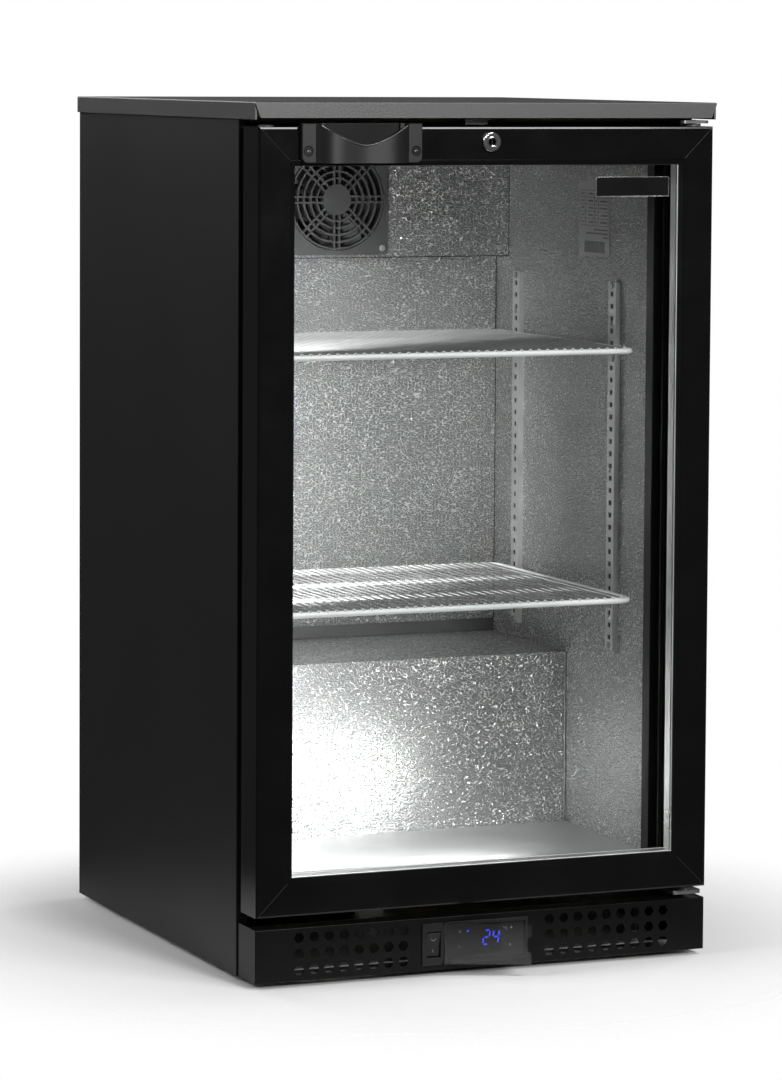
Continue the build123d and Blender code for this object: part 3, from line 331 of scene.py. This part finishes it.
def make_materials():
    for make in (casing_black, worktop_black, door_black, plinth_black, stucco_aluminium, plain_aluminium,
                 galvanised_steel, glass, clear_plastic, handle_plastic, foam, lamp_lens, display_lens,
                 lit_blue, make_simple_materials):
        make()


def dress_nodes():
    """Gives every carried-over CAD node the finish of its slot, or the finish listed for it in special."""
    special = {
        "evaporator_fan_grille": "guard_plastic",
        # The fan frame and rotor take the near-black finish instead of their slot's plastic: painted shade
        # inside the fan housing.
        "evaporator_fan_frame": "dark_joint_and_painted_shade",
        "evaporator_fan_rotor": "dark_joint_and_painted_shade",
        "evaporator_coil": "coil_fins",
        "breaker_frame": "breaker_black",
    }
    for name, obj in NODES.items():
        mat = MATERIALS[special.get(name, SLOT_OF[name])]
        obj.data.materials.clear()
        obj.data.materials.append(mat)


# ---------------------------------------------------------------- mesh helpers
def new_piece(name, bm, body, material, smooth=35.0):
    mesh = bpy.data.meshes.new(name)
    bmesh.ops.recalc_face_normals(bm, faces=bm.faces)
    bm.to_mesh(mesh)
    bm.free()
    obj = bpy.data.objects.new(name, mesh)
    bpy.context.scene.collection.objects.link(obj)
    mesh.materials.append(MATERIALS[material])
    mesh.shade_smooth()
    mesh.set_sharp_from_angle(angle=math.radians(smooth))
    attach(obj, body)
    return obj


def tube_piece(name, paths, radius, body, material, sides=3):
    """Round wire along each path; a path is (points, closed)."""
    curve = bpy.data.curves.new(name, "CURVE")
    curve.dimensions = "3D"
    curve.bevel_depth = radius
    curve.bevel_resolution = sides
    curve.use_fill_caps = True
    for points, closed in paths:
        spline = curve.splines.new("POLY")
        spline.points.add(len(points) - 1)
        for point, place in zip(spline.points, points):
            point.co = (*place, 1.0)
        spline.use_cyclic_u = closed
    obj = bpy.data.objects.new(name, curve)
    bpy.context.scene.collection.objects.link(obj)
    curve.materials.append(MATERIALS[material])
    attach(obj, body)
    return obj


def add_block(bm, low, high, round_by=0.0, segments=2):
    """A box from low to high with rounded edges, added to bm."""
    low, high = Vector(low), Vector(high)
    made = bmesh.ops.create_cube(bm, size=1.0)
    bmesh.ops.scale(bm, vec=high - low, verts=made["verts"])
    bmesh.ops.translate(bm, vec=(low + high) / 2, verts=made["verts"])
    if round_by:
        edges = {edge for vert in made["verts"] for edge in vert.link_edges}
        bmesh.ops.bevel(bm, geom=list(edges), offset=round_by, segments=segments, affect="EDGES", profile=0.5)


def add_lathe(bm, centre, axis, profile, steps=32):
    """Turns (radius, height) pairs about an axis through centre."""
    turn = Vector((0, 0, 1)).rotation_difference(Vector(axis)).to_matrix()
    rings = []
    for radius, height in profile:
        ring = []
        for index in range(steps):
            angle = 2 * math.pi * index / steps
            local = Vector((radius * math.cos(angle), radius * math.sin(angle), height))
            ring.append(bm.verts.new(Vector(centre) + turn @ local))
        rings.append(ring)
    for lower, upper in zip(rings, rings[1:]):
        for index in range(steps):
            after = (index + 1) % steps
            bm.faces.new((lower[index], lower[after], upper[after], upper[index]))
    bm.faces.new(rings[0])
    bm.faces.new(rings[-1])


def add_plate(bm, outline, y_front, thick):
    """A flat (x, z) outline facing -Y, given a thickness towards +Y."""
    front = [bm.verts.new((x, y_front, z)) for x, z in outline]
    back = [bm.verts.new((x, y_front + thick, z)) for x, z in outline]
    bm.faces.new(front)
    bm.faces.new(list(reversed(back)))
    count = len(outline)
    for index in range(count):
        after = (index + 1) % count
        bm.faces.new((front[index], back[index], back[after], front[after]))


def arc(centre, radius, start, end, steps):
    """Points (a, b) on an arc, angles in degrees."""
    points = []
    for index in range(steps + 1):
        angle = math.radians(start + (end - start) * index / steps)
        points.append((centre[0] + radius * math.cos(angle), centre[1] + radius * math.sin(angle)))
    return points


# ---------------------------------------------------------------- shelves
SHELF_TUBE = 3.0 * MM
CROSS_BAR = 2.0 * MM
CROSS_BAR_SET_BACK = (0.115, 0.230)
DECK_WIRE = 1.0 * MM
WIRE_END = 1.3 * MM
DECK_COUNT = 39
SHELF_CORNER = 14.0 * MM
BEND = 2.6 * MM


def shelf_frame_path(low, high, z):
    left, right = low.x + SHELF_TUBE, high.x - SHELF_TUBE
    near, far = low.y + SHELF_TUBE, high.y - SHELF_TUBE
    r = SHELF_CORNER
    corners = [
        ((right - r, near + r), -90),
        ((right - r, far - r), 0),
        ((left + r, far - r), 90),
        ((left + r, near + r), 180),
    ]
    flat = []
    for centre, start in corners:
        flat += arc(centre, r, start, start + 90, 8)
    return [(x, y, z) for x, y in flat]


def make_shelf(name):
    """White coated wire shelf: a bent frame, two cross bars and deck wires hooked over its front."""
    low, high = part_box(name)
    z = low.z + SHELF_TUBE
    near, far = low.y + SHELF_TUBE, high.y - SHELF_TUBE
    left, right = low.x + SHELF_TUBE, high.x - SHELF_TUBE
    frame_path = [(shelf_frame_path(low, high, z), True)]
    rim = tube_piece(f"{name}_rim", frame_path, SHELF_TUBE, name, "white_wire", 5)
    bar_z = z - 0.4 * MM
    bars = [([(left, near + at, bar_z), (right, near + at, bar_z)], False) for at in CROSS_BAR_SET_BACK]
    cross = tube_piece(f"{name}_cross_bars", bars, CROSS_BAR, name, "white_wire", 4)
    pitch = (right - left - 4.0 * MM) / (DECK_COUNT + 1)
    deck_z = z + SHELF_TUBE + DECK_WIRE - 1.0 * MM
    paths = []
    for index in range(DECK_COUNT):
        x = (index - (DECK_COUNT - 1) / 2) * pitch
        hook = arc((near + 0.6 * MM, deck_z - BEND), BEND, 90, 140, 4)
        paths.append(([(x, far + 1.5 * MM, deck_z)] + [(x, y, h) for y, h in hook], False))
    deck = tube_piece(f"{name}_deck_wires", paths, DECK_WIRE, name, "deck_wire", 2)
    ends = []
    end_z = z + 3.2 * MM
    for path in paths:
        x = path[0][0][0]
        ends.append(([(x, near - 1.2 * MM, end_z), (x, near + 1.5 * MM, end_z)], False))
    tips = tube_piece(f"{name}_wire_ends", ends, WIRE_END, name, "white_wire", 3)
    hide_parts(name)
    return rim, cross, deck, tips


# ---------------------------------------------------------------- controller marks
def segment_outlines(x, z, width, height, lean, shown):
    """Outlines of a seven-segment digit, slanted, from its lower-left corner."""
    t = width * 0.20
    g = t * 0.12
    half = height / 2
    bars = {
        "a": [(t, height), (width - t, height), (width - 1.7 * t, height - t), (1.7 * t, height - t)],
        "d": [(t, 0), (width - t, 0), (width - 1.7 * t, t), (1.7 * t, t)],
        "g": [(t, half), (1.5 * t, half + t / 2), (width - 1.5 * t, half + t / 2), (width - t, half),
              (width - 1.5 * t, half - t / 2), (1.5 * t, half - t / 2)],
        "b": [(width, height - t - g), (width, half + g + t / 3), (width - t, half + t / 2 + g),
              (width - t, height - 1.5 * t)],
        "c": [(width, t + g), (width, half - g - t / 3), (width - t, half - t / 2 - g), (width - t, 1.5 * t)],
        "f": [(0, height - t - g), (0, half + g + t / 3), (t, half + t / 2 + g), (t, height - 1.5 * t)],
        "e": [(0, t + g), (0, half - g - t / 3), (t, half - t / 2 - g), (t, 1.5 * t)],
    }
    return [[(x + a + lean * b, z + b) for a, b in bars[key]] for key in shown]


def make_display():
    """Lit figures, unit mark and faint symbols printed behind the thermostat's window."""
    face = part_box("thermostat")[0].y - 0.08 * MM
    thick = 0.06 * MM
    bm = bmesh.new()
    digit_width, digit_height, lean = 7.6 * MM, 15.6 * MM, 0.16
    for start, shown in ((-3.2 * MM, "abged"), (7.2 * MM, "fgbc")):
        for outline in segment_outlines(start, 28.0 * MM, digit_width, digit_height, lean, shown):
            add_plate(bm, outline, face, thick)
    add_plate(bm, arc((-18.6 * MM, 43.6 * MM), 1.1 * MM, 0, 330, 11), face, thick)
    new_piece("display_figures", bm, "cabinet", "lit_blue")
    bm = bmesh.new()
    for x, z, up in ((29.1, 44.2, 1), (28.1, 26.2, -1)):
        tip = [(x, z + 1.4 * up), (x + 1.6, z - 1.2 * up), (x - 1.6, z - 1.2 * up)]
        add_plate(bm, [(a * MM, b * MM) for a, b in tip], face, thick)
    for x, z in ((-27.0, 43.5), (-28.0, 28.0)):
        for turn in range(3):
            angle = math.radians(60 * turn)
            ax, az = math.cos(angle) * 1.7, math.sin(angle) * 1.7
            nx, nz = -math.sin(angle) * 0.22, math.cos(angle) * 0.22
            bar = [(x - ax - nx, z - az - nz), (x + ax - nx, z + az - nz),
                   (x + ax + nx, z + az + nz), (x - ax + nx, z - az + nz)]
            add_plate(bm, [(a * MM, b * MM) for a, b in bar], face, thick)
    new_piece("display_symbols", bm, "cabinet", "faint_print")
    bm = bmesh.new()
    ring = arc((21.5 * MM, 44.8 * MM), 0.9 * MM, 0, 360, 12)
    inner = arc((21.5 * MM, 44.8 * MM), 0.5 * MM, 360, 0, 12)
    add_plate(bm, ring + inner, face, thick)
    centre = (24.3 * MM, 43.4 * MM)
    add_plate(bm, arc(centre, 1.5 * MM, 45, 315, 10) + arc(centre, 1.0 * MM, 315, 45, 10), face, thick)
    new_piece("display_unit", bm, "cabinet", "faint_print")


def make_rocker_marks():
    """The on ring and off bar on the rocker's sloping face."""
    low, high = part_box("rocker_switch")
    mid_x = (low.x + high.x) / 2
    bm = bmesh.new()
    for at, kind in ((38.6 * MM, "ring"), (27.0 * MM, "bar")):
        tilt = (2.4 + 0.4) / 11.6 if at > 32.5 * MM else (3.2 - 2.4) / 12.1
        face = low.y + (2.4 + 0.4) * MM - (at - 32.5 * MM) * tilt - 0.12 * MM
        if at < 32.5 * MM:
            face = low.y + (2.4 + 0.4) * MM + (32.5 * MM - at) * tilt - 0.12 * MM
        if kind == "ring":
            outer = arc((mid_x, at), 2.6 * MM, 0, 360, 20)
            inner = arc((mid_x, at), 2.0 * MM, 360, 0, 20)
            add_plate(bm, outer + inner, face, 0.3 * MM)
        else:
            half = 0.35 * MM
            tall = 2.6 * MM
            outline = [(mid_x - half, at - tall), (mid_x + half, at - tall),
                       (mid_x + half, at + tall), (mid_x - half, at + tall)]
            add_plate(bm, outline, face, 0.3 * MM)
    new_piece("rocker_marks", bm, "rocker", "faint_print")


# ---------------------------------------------------------------- inside details
RAIL_SET_BACK = (133.5 * MM, 372.5 * MM)
RIVET_HEIGHTS = (0.334, 0.4876, 0.6412)


def make_label():
    """Generic rating plate on the right inner wall: paper, ruled lines and a striped block."""
    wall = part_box("liner_side_walls")[1].x - 0.6 * MM
    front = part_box("worktop")[0].y
    y_low, y_high = front + 152.3 * MM, front + 226.6 * MM
    z_low, z_high = 708.8 * MM, 788.0 * MM
    bm = bmesh.new()
    add_block(bm, (wall - 0.35 * MM, y_low, z_low), (wall - 0.05 * MM, y_high, z_high), 0.1 * MM, 1)
    new_piece("rating_label_paper", bm, "cabinet", "label_paper")
    ink = wall - 0.45 * MM
    bm = bmesh.new()

    def bar(y0, y1, z0, z1):
        add_block(bm, (ink, y0, z0), (ink + 0.12 * MM, y1, z1))

    left, right = y_low + 4 * MM, y_high - 4 * MM
    rows, pitch, head = 5, 7.4 * MM, 10.0 * MM
    for row in range(rows + 1):
        z = z_high - head - row * pitch
        bar(left, right, z - 0.25 * MM, z + 0.25 * MM)
    for share in (0.0, 0.36, 0.50, 0.82, 1.0):
        y = left + (right - left) * share
        bar(y - 0.25 * MM, y + 0.25 * MM, z_high - head - rows * pitch, z_high - head)
    for row in range(rows):
        z = z_high - head - (row + 0.5) * pitch
        words = ((0.04, 0.26 + 0.03 * (row % 3)), (0.41, 0.46), (0.55, 0.70 + 0.03 * (row % 2)), (0.87, 0.96))
        for start, stop in words:
            bar(left + (right - left) * start, left + (right - left) * stop, z - 0.8 * MM, z + 0.8 * MM)
    bar(left, left + 30 * MM, z_high - 6.6 * MM, z_high - 3.4 * MM)
    for length, z in ((34, 27.5), (52, 23.5), (12, 19.5)):
        bar(left, left + length * MM, z_low + z * MM, z_low + (z + 1.3) * MM)
    stripes = 26
    for index in range(stripes):
        y = left + 8 * MM + index * 1.9 * MM
        wide = (0.4 + 0.35 * ((index * 7) % 3)) * MM
        bar(y, y + wide, z_low + 4 * MM, z_low + 16 * MM)
    new_piece("rating_label_print", bm, "cabinet", "label_ink")


def make_sealant():
    """Bead in the corner between the step's face and each side wall."""
    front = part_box("compressor_step_cover")[0].y
    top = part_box("compressor_step_cover")[1].z
    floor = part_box("liner_floor")[1].z
    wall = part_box("liner_side_walls")[1].x - 0.6 * MM
    paths = []
    for hand in (-1, 1):
        x = hand * (wall - 0.6 * MM)
        points = []
        steps = 40
        for index in range(steps + 1):
            z = floor + (top - floor) * index / steps
            wave = 0.35 * MM * math.sin(index * 1.7) + 0.2 * MM * math.sin(index * 0.63)
            points.append((x - hand * abs(wave), front - 0.4 * MM - abs(wave), z))
        paths.append((points, False))
    tube_piece("step_sealant", paths, 1.3 * MM, "cabinet", "sealant", 3)


def make_liner_seams():
    """Dark joints round the duct panel and along the evaporator cover's lower edge."""
    duct_low, duct_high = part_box("rear_duct_panel")
    cover_low, cover_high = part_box("evaporator_cover")
    duct_y = duct_low.y - 0.1 * MM
    cover_y = cover_low.y + 0.3 * MM
    paths = []
    for hand in (-1, 1):
        x = hand * (duct_high.x - 0.2 * MM)
        paths.append(([(x, duct_y, duct_low.z), (x, duct_y, cover_low.z)], False))
        paths.append(([(x, cover_y, cover_low.z), (x, cover_y, cover_high.z - MM)], False))
    y = cover_low.y + 0.2 * MM
    z = cover_low.z + 0.3 * MM
    paths.append(([(-duct_high.x, y, z), (duct_high.x, y, z)], False))
    tube_piece("liner_seams", paths, 0.5 * MM, "cabinet", "dark_joint_and_painted_shade", 2)


def make_handle_screw_rings():
    """Painted shadow line round each handle screw and painted highlights on the arms of its cross recess."""
    screws_low, screws_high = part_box("handle_screws")
    z = (screws_low.z + screws_high.z) / 2
    half = (screws_high.z - screws_low.z) / 2
    rings, arms = [], []
    for x in (screws_low.x + half, screws_high.x - half):
        circle = arc((x, z), half + 0.5 * MM, 0, 348, 29)
        rings.append(([(a, screws_low.y + 0.4 * MM, b) for a, b in circle], True))
        reach = 1.5 * MM
        arms.append(([(x - reach, screws_low.y, z), (x + reach, screws_low.y, z)], False))
        arms.append(([(x, screws_low.y, z - reach), (x, screws_low.y, z + reach)], False))
    tube_piece("handle_screw_rings", rings, 0.5 * MM, "door", "dark_joint_and_painted_shade", 2)
    tube_piece("handle_screw_cross_highlights", arms, 0.22 * MM, "door", "painted_edge_highlight", 2)


def make_return_gap():
    """Painted shade: a dark sheet across the air return between the duct panel's lower edge and the step."""
    step_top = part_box("compressor_step_cover")[1].z
    duct_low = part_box("rear_duct_panel")[0]
    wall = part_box("liner_side_walls")[1].x - 1.0 * MM
    bm = bmesh.new()
    y = duct_low.y + 0.4 * MM
    top = duct_low.z + 0.5 * MM
    add_block(bm, (-wall, y, step_top + 0.2 * MM), (wall, y + 0.3 * MM, top), 0.1 * MM, 1)
    new_piece("return_gap_shadow", bm, "cabinet", "return_shade")


def make_rivets():
    """Pop rivets that hold the shelf rails."""
    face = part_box("shelf_rails")[1].x - 6.0 * MM
    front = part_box("worktop")[0].y
    profile = [(2.6 * MM, 0.0), (2.5 * MM, 0.5 * MM), (1.6 * MM, 1.1 * MM), (0.7 * MM, 1.3 * MM),
               (0.6 * MM, 0.8 * MM)]
    bm = bmesh.new()
    for hand in (-1, 1):
        for back in RAIL_SET_BACK:
            for z in RIVET_HEIGHTS:
                centre = (hand * (face + 0.02 * MM), front + back, z)
                add_lathe(bm, centre, (-hand, 0, 0), profile, 16)
    new_piece("rail_rivets", bm, "cabinet", "zinc_steel")


def make_rail_slot_shade():
    """Painted shade: a dark sheet behind the slots of each shelf rail."""
    low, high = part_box("shelf_rails")
    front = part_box("worktop")[0].y
    bm = bmesh.new()
    for hand in (-1, 1):
        for back in RAIL_SET_BACK:
            y = front + back
            x = sorted((hand * (high.x - 4.6 * MM), hand * (high.x - 4.4 * MM)))
            add_block(bm, (x[0], y - 4.6 * MM, low.z + 1 * MM), (x[1], y + 4.6 * MM, high.z - 1 * MM))
    new_piece("rail_slot_shadow", bm, "cabinet", "dark_joint_and_painted_shade")


def make_lock_face():
    """Turned ring on the lock cylinder, and a raised dark plate on its key way as painted shade."""
    low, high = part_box("lock_cylinder")
    z = (low.z + high.z) / 2
    bm = bmesh.new()
    ring = [(5.0 * MM, 0.0), (5.0 * MM, 0.35 * MM), (4.4 * MM, 0.6 * MM), (3.9 * MM, 0.35 * MM),
            (3.9 * MM, 0.0)]
    add_lathe(bm, (0, low.y, z), (0, -1, 0), ring, 32)
    new_piece("lock_ring", bm, "lock", "lock_chrome")
    bm = bmesh.new()
    half = 0.8 * MM
    tall = 3.2 * MM
    slot = [(-half, z - tall), (half, z - tall), (half, z + tall), (-half, z + tall)]
    add_plate(bm, slot, low.y - 0.1 * MM, 0.3 * MM)
    new_piece("lock_key_slot", bm, "lock", "dark_joint_and_painted_shade")


def make_hole_plugs():
    """Spare hinge holes on the left are closed with small domed plugs."""
    door_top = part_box("door_top_profile")[1].z
    bm = bmesh.new()
    x = -232.0 * MM
    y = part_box("hinge_pins")[0].y + 4.0 * MM
    dome = [(8.0 * MM, 0.0), (7.8 * MM, 0.8 * MM), (6.0 * MM, 1.5 * MM), (2.5 * MM, 1.9 * MM)]
    add_lathe(bm, (x, y, door_top), (0, 0, 1), dome, 24)
    add_lathe(bm, (x, y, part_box("door_bottom_profile")[0].z), (0, 0, -1), dome, 24)
    new_piece("spare_hole_plugs", bm, "door", "bush_plastic")


def make_glazing_bead_highlights():
    """Painted highlights: bright lines on the edges of the glazing bead along the bottom and right of the
    glass.
    """
    low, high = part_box("glass_panes")
    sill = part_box("door_bottom_profile")[1].z
    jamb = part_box("door_right_profile")[0].x
    y = low.y + 0.2 * MM
    inset = 0.7 * MM
    across = ([(-jamb, y, sill + inset), (jamb, y, sill + inset)], False)
    upward = ([(jamb - inset, y, sill), (jamb - inset, y, high.z - 8 * MM)], False)
    second = ([(-jamb, y, sill + 4.2 * MM), (jamb, y, sill + 4.2 * MM)], False)
    tube_piece("glazing_bead_painted_highlights", [across, upward], 0.55 * MM, "door", "bead_painted_highlight", 2)
    tube_piece("glazing_bead_painted_highlight_line", [second], 0.25 * MM, "door", "bead_painted_highlight", 2)


def make_badge_highlight():
    """Painted highlight: a bright line round the edge of the blank badge."""
    low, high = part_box("badge_plate")
    y = low.y + 0.35 * MM
    r = 1.5 * MM
    corners = [
        ((high.x - r, low.z + r), -90),
        ((high.x - r, high.z - r), 0),
        ((low.x + r, high.z - r), 90),
        ((low.x + r, low.z + r), 180),
    ]
    flat = []
    for centre, start in corners:
        flat += arc(centre, r, start, start + 90, 5)
    path = [(x, y, z) for x, z in flat]
    tube_piece("painted_edge_highlight", [(path, True)], 0.35 * MM, "door", "painted_edge_highlight", 2)


def through(points, count):
    """A smooth line of count points through the given ones (Catmull-Rom)."""
    line = []
    ends = [2 * points[0] - points[1], *points, 2 * points[-1] - points[-2]]
    for index in range(count):
        at = index / (count - 1) * (len(points) - 1)
        span = min(int(at), len(points) - 2)
        t = at - span
        a, b, c, d = ends[span:span + 4]
        square = (2 * a - 5 * b + 4 * c - d) * t * t
        cube = (3 * b - a - 3 * c + d) * t ** 3
        line.append(0.5 * ((2 * b) + (c - a) * t + square + cube))
    return line


def make_handle_pocket():
    """The grip's rounded lip, paler and glossier than the handle as a painted highlight over its real gloss,
    and a dark sheet in the finger pocket behind it as painted shade.
    """
    low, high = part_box("door_handle")
    ear = 14.5 * MM
    left, right = low.x + ear + 4 * MM, high.x - ear - 4 * MM
    pocket = (high.x - low.x) / 2 - ear - 9.4 * MM
    mid = (low.x + high.x) / 2
    top = high.z
    marks = [
        Vector((left, low.y + 4.4 * MM, top - 2.5 * MM)),
        Vector((mid - 26 * MM, low.y + 0.55 * MM, top - 13.5 * MM)),
        Vector((mid, low.y, top - 21.5 * MM)),
        Vector((mid + 26 * MM, low.y + 0.55 * MM, top - 13.5 * MM)),
        Vector((right, low.y + 4.4 * MM, top - 2.5 * MM)),
    ]
    lip = [point + Vector((0, 0.9 * MM, 0)) for point in through(marks, 41)]
    path = [tuple(point) for point in lip]
    tube_piece("handle_lip", [(path, False)], 0.75 * MM, "door", "lip_gloss_painted_highlight", 4)
    bm = bmesh.new()
    back = high.y - 2.35 * MM
    inside = [point for point in lip if abs(point.x - mid) < pocket]
    outline = [(mid - pocket, top - 0.2 * MM)]
    outline += [(point.x, point.z - 3 * MM) for point in inside]
    outline += [(mid + pocket, top - 0.2 * MM)]
    add_plate(bm, outline, back, 0.25 * MM)
    new_piece("handle_pocket_painted_shade", bm, "door", "dark_joint_and_painted_shade")


def make_mitre_seams():
    """Hairline joints where the four door profiles meet, drawn paler than the profiles as a painted highlight
    along each joint.
    """
    low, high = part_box("door_left_profile")
    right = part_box("door_right_profile")[1].x
    wide = 32.4 * MM
    y = low.y + 0.02 * MM
    paths = []
    for x, way in ((low.x, 1), (right, -1)):
        for z, up in ((low.z, 1), (high.z, -1)):
            start = 2.4 * MM
            paths.append(([(x + way * start, y, z + up * start), (x + way * wide, y, z + up * wide)], False))
    tube_piece("door_mitre_seams", paths, 0.14 * MM, "door", "seam_painted_highlight", 2)


def make_details():
    make_handle_pocket()
    make_mitre_seams()
    for name in ("upper_shelf", "lower_shelf"):
        make_shelf(name)
    make_display()
    make_rocker_marks()
    make_label()
    make_sealant()
    make_return_gap()
    make_liner_seams()
    make_handle_screw_rings()
    make_rivets()
    make_rail_slot_shade()
    make_lock_face()
    make_hole_plugs()
    make_badge_highlight()
    make_glazing_bead_highlights()


# ---------------------------------------------------------------- stage, light and camera
CAMERA_PLACE = (-1.8113, -4.2628, 0.9160)
CAMERA_YAW = 23.004
CAMERA_PITCH = 4.284
CAMERA_ROLL = 0.341
SENSOR = 36.0
LONG_SIDE = 1080.0
FOCAL_PIXELS = 4443.4
SHIFT_PIXELS = -150.0


def make_camera():
    data = bpy.data.cameras.new("camera")
    data.sensor_width = SENSOR
    data.lens = FOCAL_PIXELS / LONG_SIDE * SENSOR
    data.shift_y = SHIFT_PIXELS / LONG_SIDE
    data.clip_end = 60.0
    cam = bpy.data.objects.new("camera", data)
    bpy.context.scene.collection.objects.link(cam)
    cam.location = CAMERA_PLACE
    heading = Matrix.Rotation(math.radians(-CAMERA_YAW), 3, "Z")
    level = heading @ Matrix.Rotation(math.radians(90 - CAMERA_PITCH), 3, "X")
    turned = level @ Matrix.Rotation(math.radians(CAMERA_ROLL), 3, "Z")
    cam.rotation_mode = "QUATERNION"
    cam.rotation_quaternion = turned.to_quaternion()
    bpy.context.scene.camera = cam


def add_area(name, place, aim, size, power, tall=None, spread_angle=180.0):
    data = bpy.data.lights.new(name, "AREA")
    data.energy = power
    data.size = size
    data.spread = math.radians(spread_angle)
    if tall:
        data.shape = "RECTANGLE"
        data.size_y = tall
    lamp = bpy.data.objects.new(name, data)
    bpy.context.scene.collection.objects.link(lamp)
    lamp.location = place
    direction = Vector(aim) - Vector(place)
    lamp.rotation_mode = "QUATERNION"
    lamp.rotation_quaternion = direction.to_track_quat("-Z", "Y")
    return lamp


def make_lights():
    middle = (0.0, 0.0, 0.45)
    add_area("top_front_soft", (1.0, -2.7, 3.4), (0.0, -0.2, 0.7), 1.7, 75.0, 0.8)
    add_area("front_soft", (0.50, -4.3, 1.9), middle, 0.8, 140.0)
    add_area("left_soft", (-3.4, -0.2, 2.6), (0.0, 0.0, 0.6), 1.8, 62.0)
    add_area("right_soft", (3.4, 1.2, 2.0), middle, 2.0, 40.0)
    add_area("back_soft", (-0.6, 3.6, 2.2), middle, 2.2, 50.0)
    lamp_low, lamp_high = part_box("led_lamp")
    x = lamp_high.x + 2.0 * MM
    y = (lamp_low.y + lamp_high.y) / 2
    strips = (
        ("inner_low", 0.225, 0.14, 2.5),
        ("inner_mid", 0.47, 0.14, 5.8),
        ("inner_top", 0.672, 0.025, 2.2),
    )
    for name, z, tall, power in strips:
        add_area(name, (x, y, z), (x + 0.30, y + 1.0, z), 0.016, power, tall, 100.0)
    add_area("inner_sill", (-0.08, y - 6 * MM, 0.135), (-0.06, y + 0.3, 0.11), 0.30, 2.2, 0.02, 180.0)
    world = bpy.data.worlds.new("studio")
    world.use_nodes = True
    bpy.context.scene.world = world
    tree = world.node_tree
    tree.nodes.clear()
    out = tree.nodes.new("ShaderNodeOutputWorld")
    seen = tree.nodes.new("ShaderNodeBackground")
    seen.inputs["Color"].default_value = (1.0, 1.0, 1.0, 1.0)
    seen.inputs["Strength"].default_value = 1.0
    felt = tree.nodes.new("ShaderNodeBackground")
    felt.inputs["Color"].default_value = (1.0, 1.0, 1.0, 1.0)
    felt.inputs["Strength"].default_value = 0.06
    path = tree.nodes.new("ShaderNodeLightPath")
    mix = tree.nodes.new("ShaderNodeMixShader")
    tree.links.new(path.outputs["Is Camera Ray"], mix.inputs["Fac"])
    tree.links.new(felt.outputs["Background"], mix.inputs[1])
    tree.links.new(seen.outputs["Background"], mix.inputs[2])
    tree.links.new(mix.outputs["Shader"], out.inputs["Surface"])
    bpy.context.scene.view_settings.view_transform = "Standard"


def make_floor():
    """Pale floor that fades out round the object."""
    bm = bmesh.new()
    steps = 64
    bmesh.ops.create_circle(bm, cap_ends=True, radius=1.6, segments=steps)
    mesh = bpy.data.meshes.new("floor")
    bm.to_mesh(mesh)
    bm.free()
    floor = bpy.data.objects.new("floor", mesh)
    bpy.context.scene.collection.objects.link(floor)
    floor.location = (0.0, 0.0, -0.0002)
    mat = bpy.data.materials.new("pale_floor")
    mat.use_nodes = True
    tree = mat.node_tree
    bsdf = tree.nodes["Principled BSDF"]
    bsdf.inputs["Base Color"].default_value = (0.82, 0.82, 0.82, 1.0)
    bsdf.inputs["Roughness"].default_value = 0.9
    place = tree.nodes.new("ShaderNodeTexCoord")
    length = tree.nodes.new("ShaderNodeVectorMath")
    length.operation = "LENGTH"
    tree.links.new(place.outputs["Object"], length.inputs[0])
    fade = tree.nodes.new("ShaderNodeMapRange")
    fade.interpolation_type = "SMOOTHSTEP"
    fade.inputs["From Min"].default_value = 0.30
    fade.inputs["From Max"].default_value = 0.62
    tree.links.new(length.outputs["Value"], fade.inputs["Value"])
    clear = tree.nodes.new("ShaderNodeBsdfTransparent")
    mix = tree.nodes.new("ShaderNodeMixShader")
    tree.links.new(fade.outputs["Result"], mix.inputs["Fac"])
    tree.links.new(bsdf.outputs["BSDF"], mix.inputs[1])
    tree.links.new(clear.outputs["BSDF"], mix.inputs[2])
    tree.links.new(mix.outputs["Shader"], tree.nodes["Material Output"].inputs["Surface"])
    mesh.materials.append(mat)


make_materials()
dress_nodes()
make_details()
make_camera()
make_lights()
make_floor()
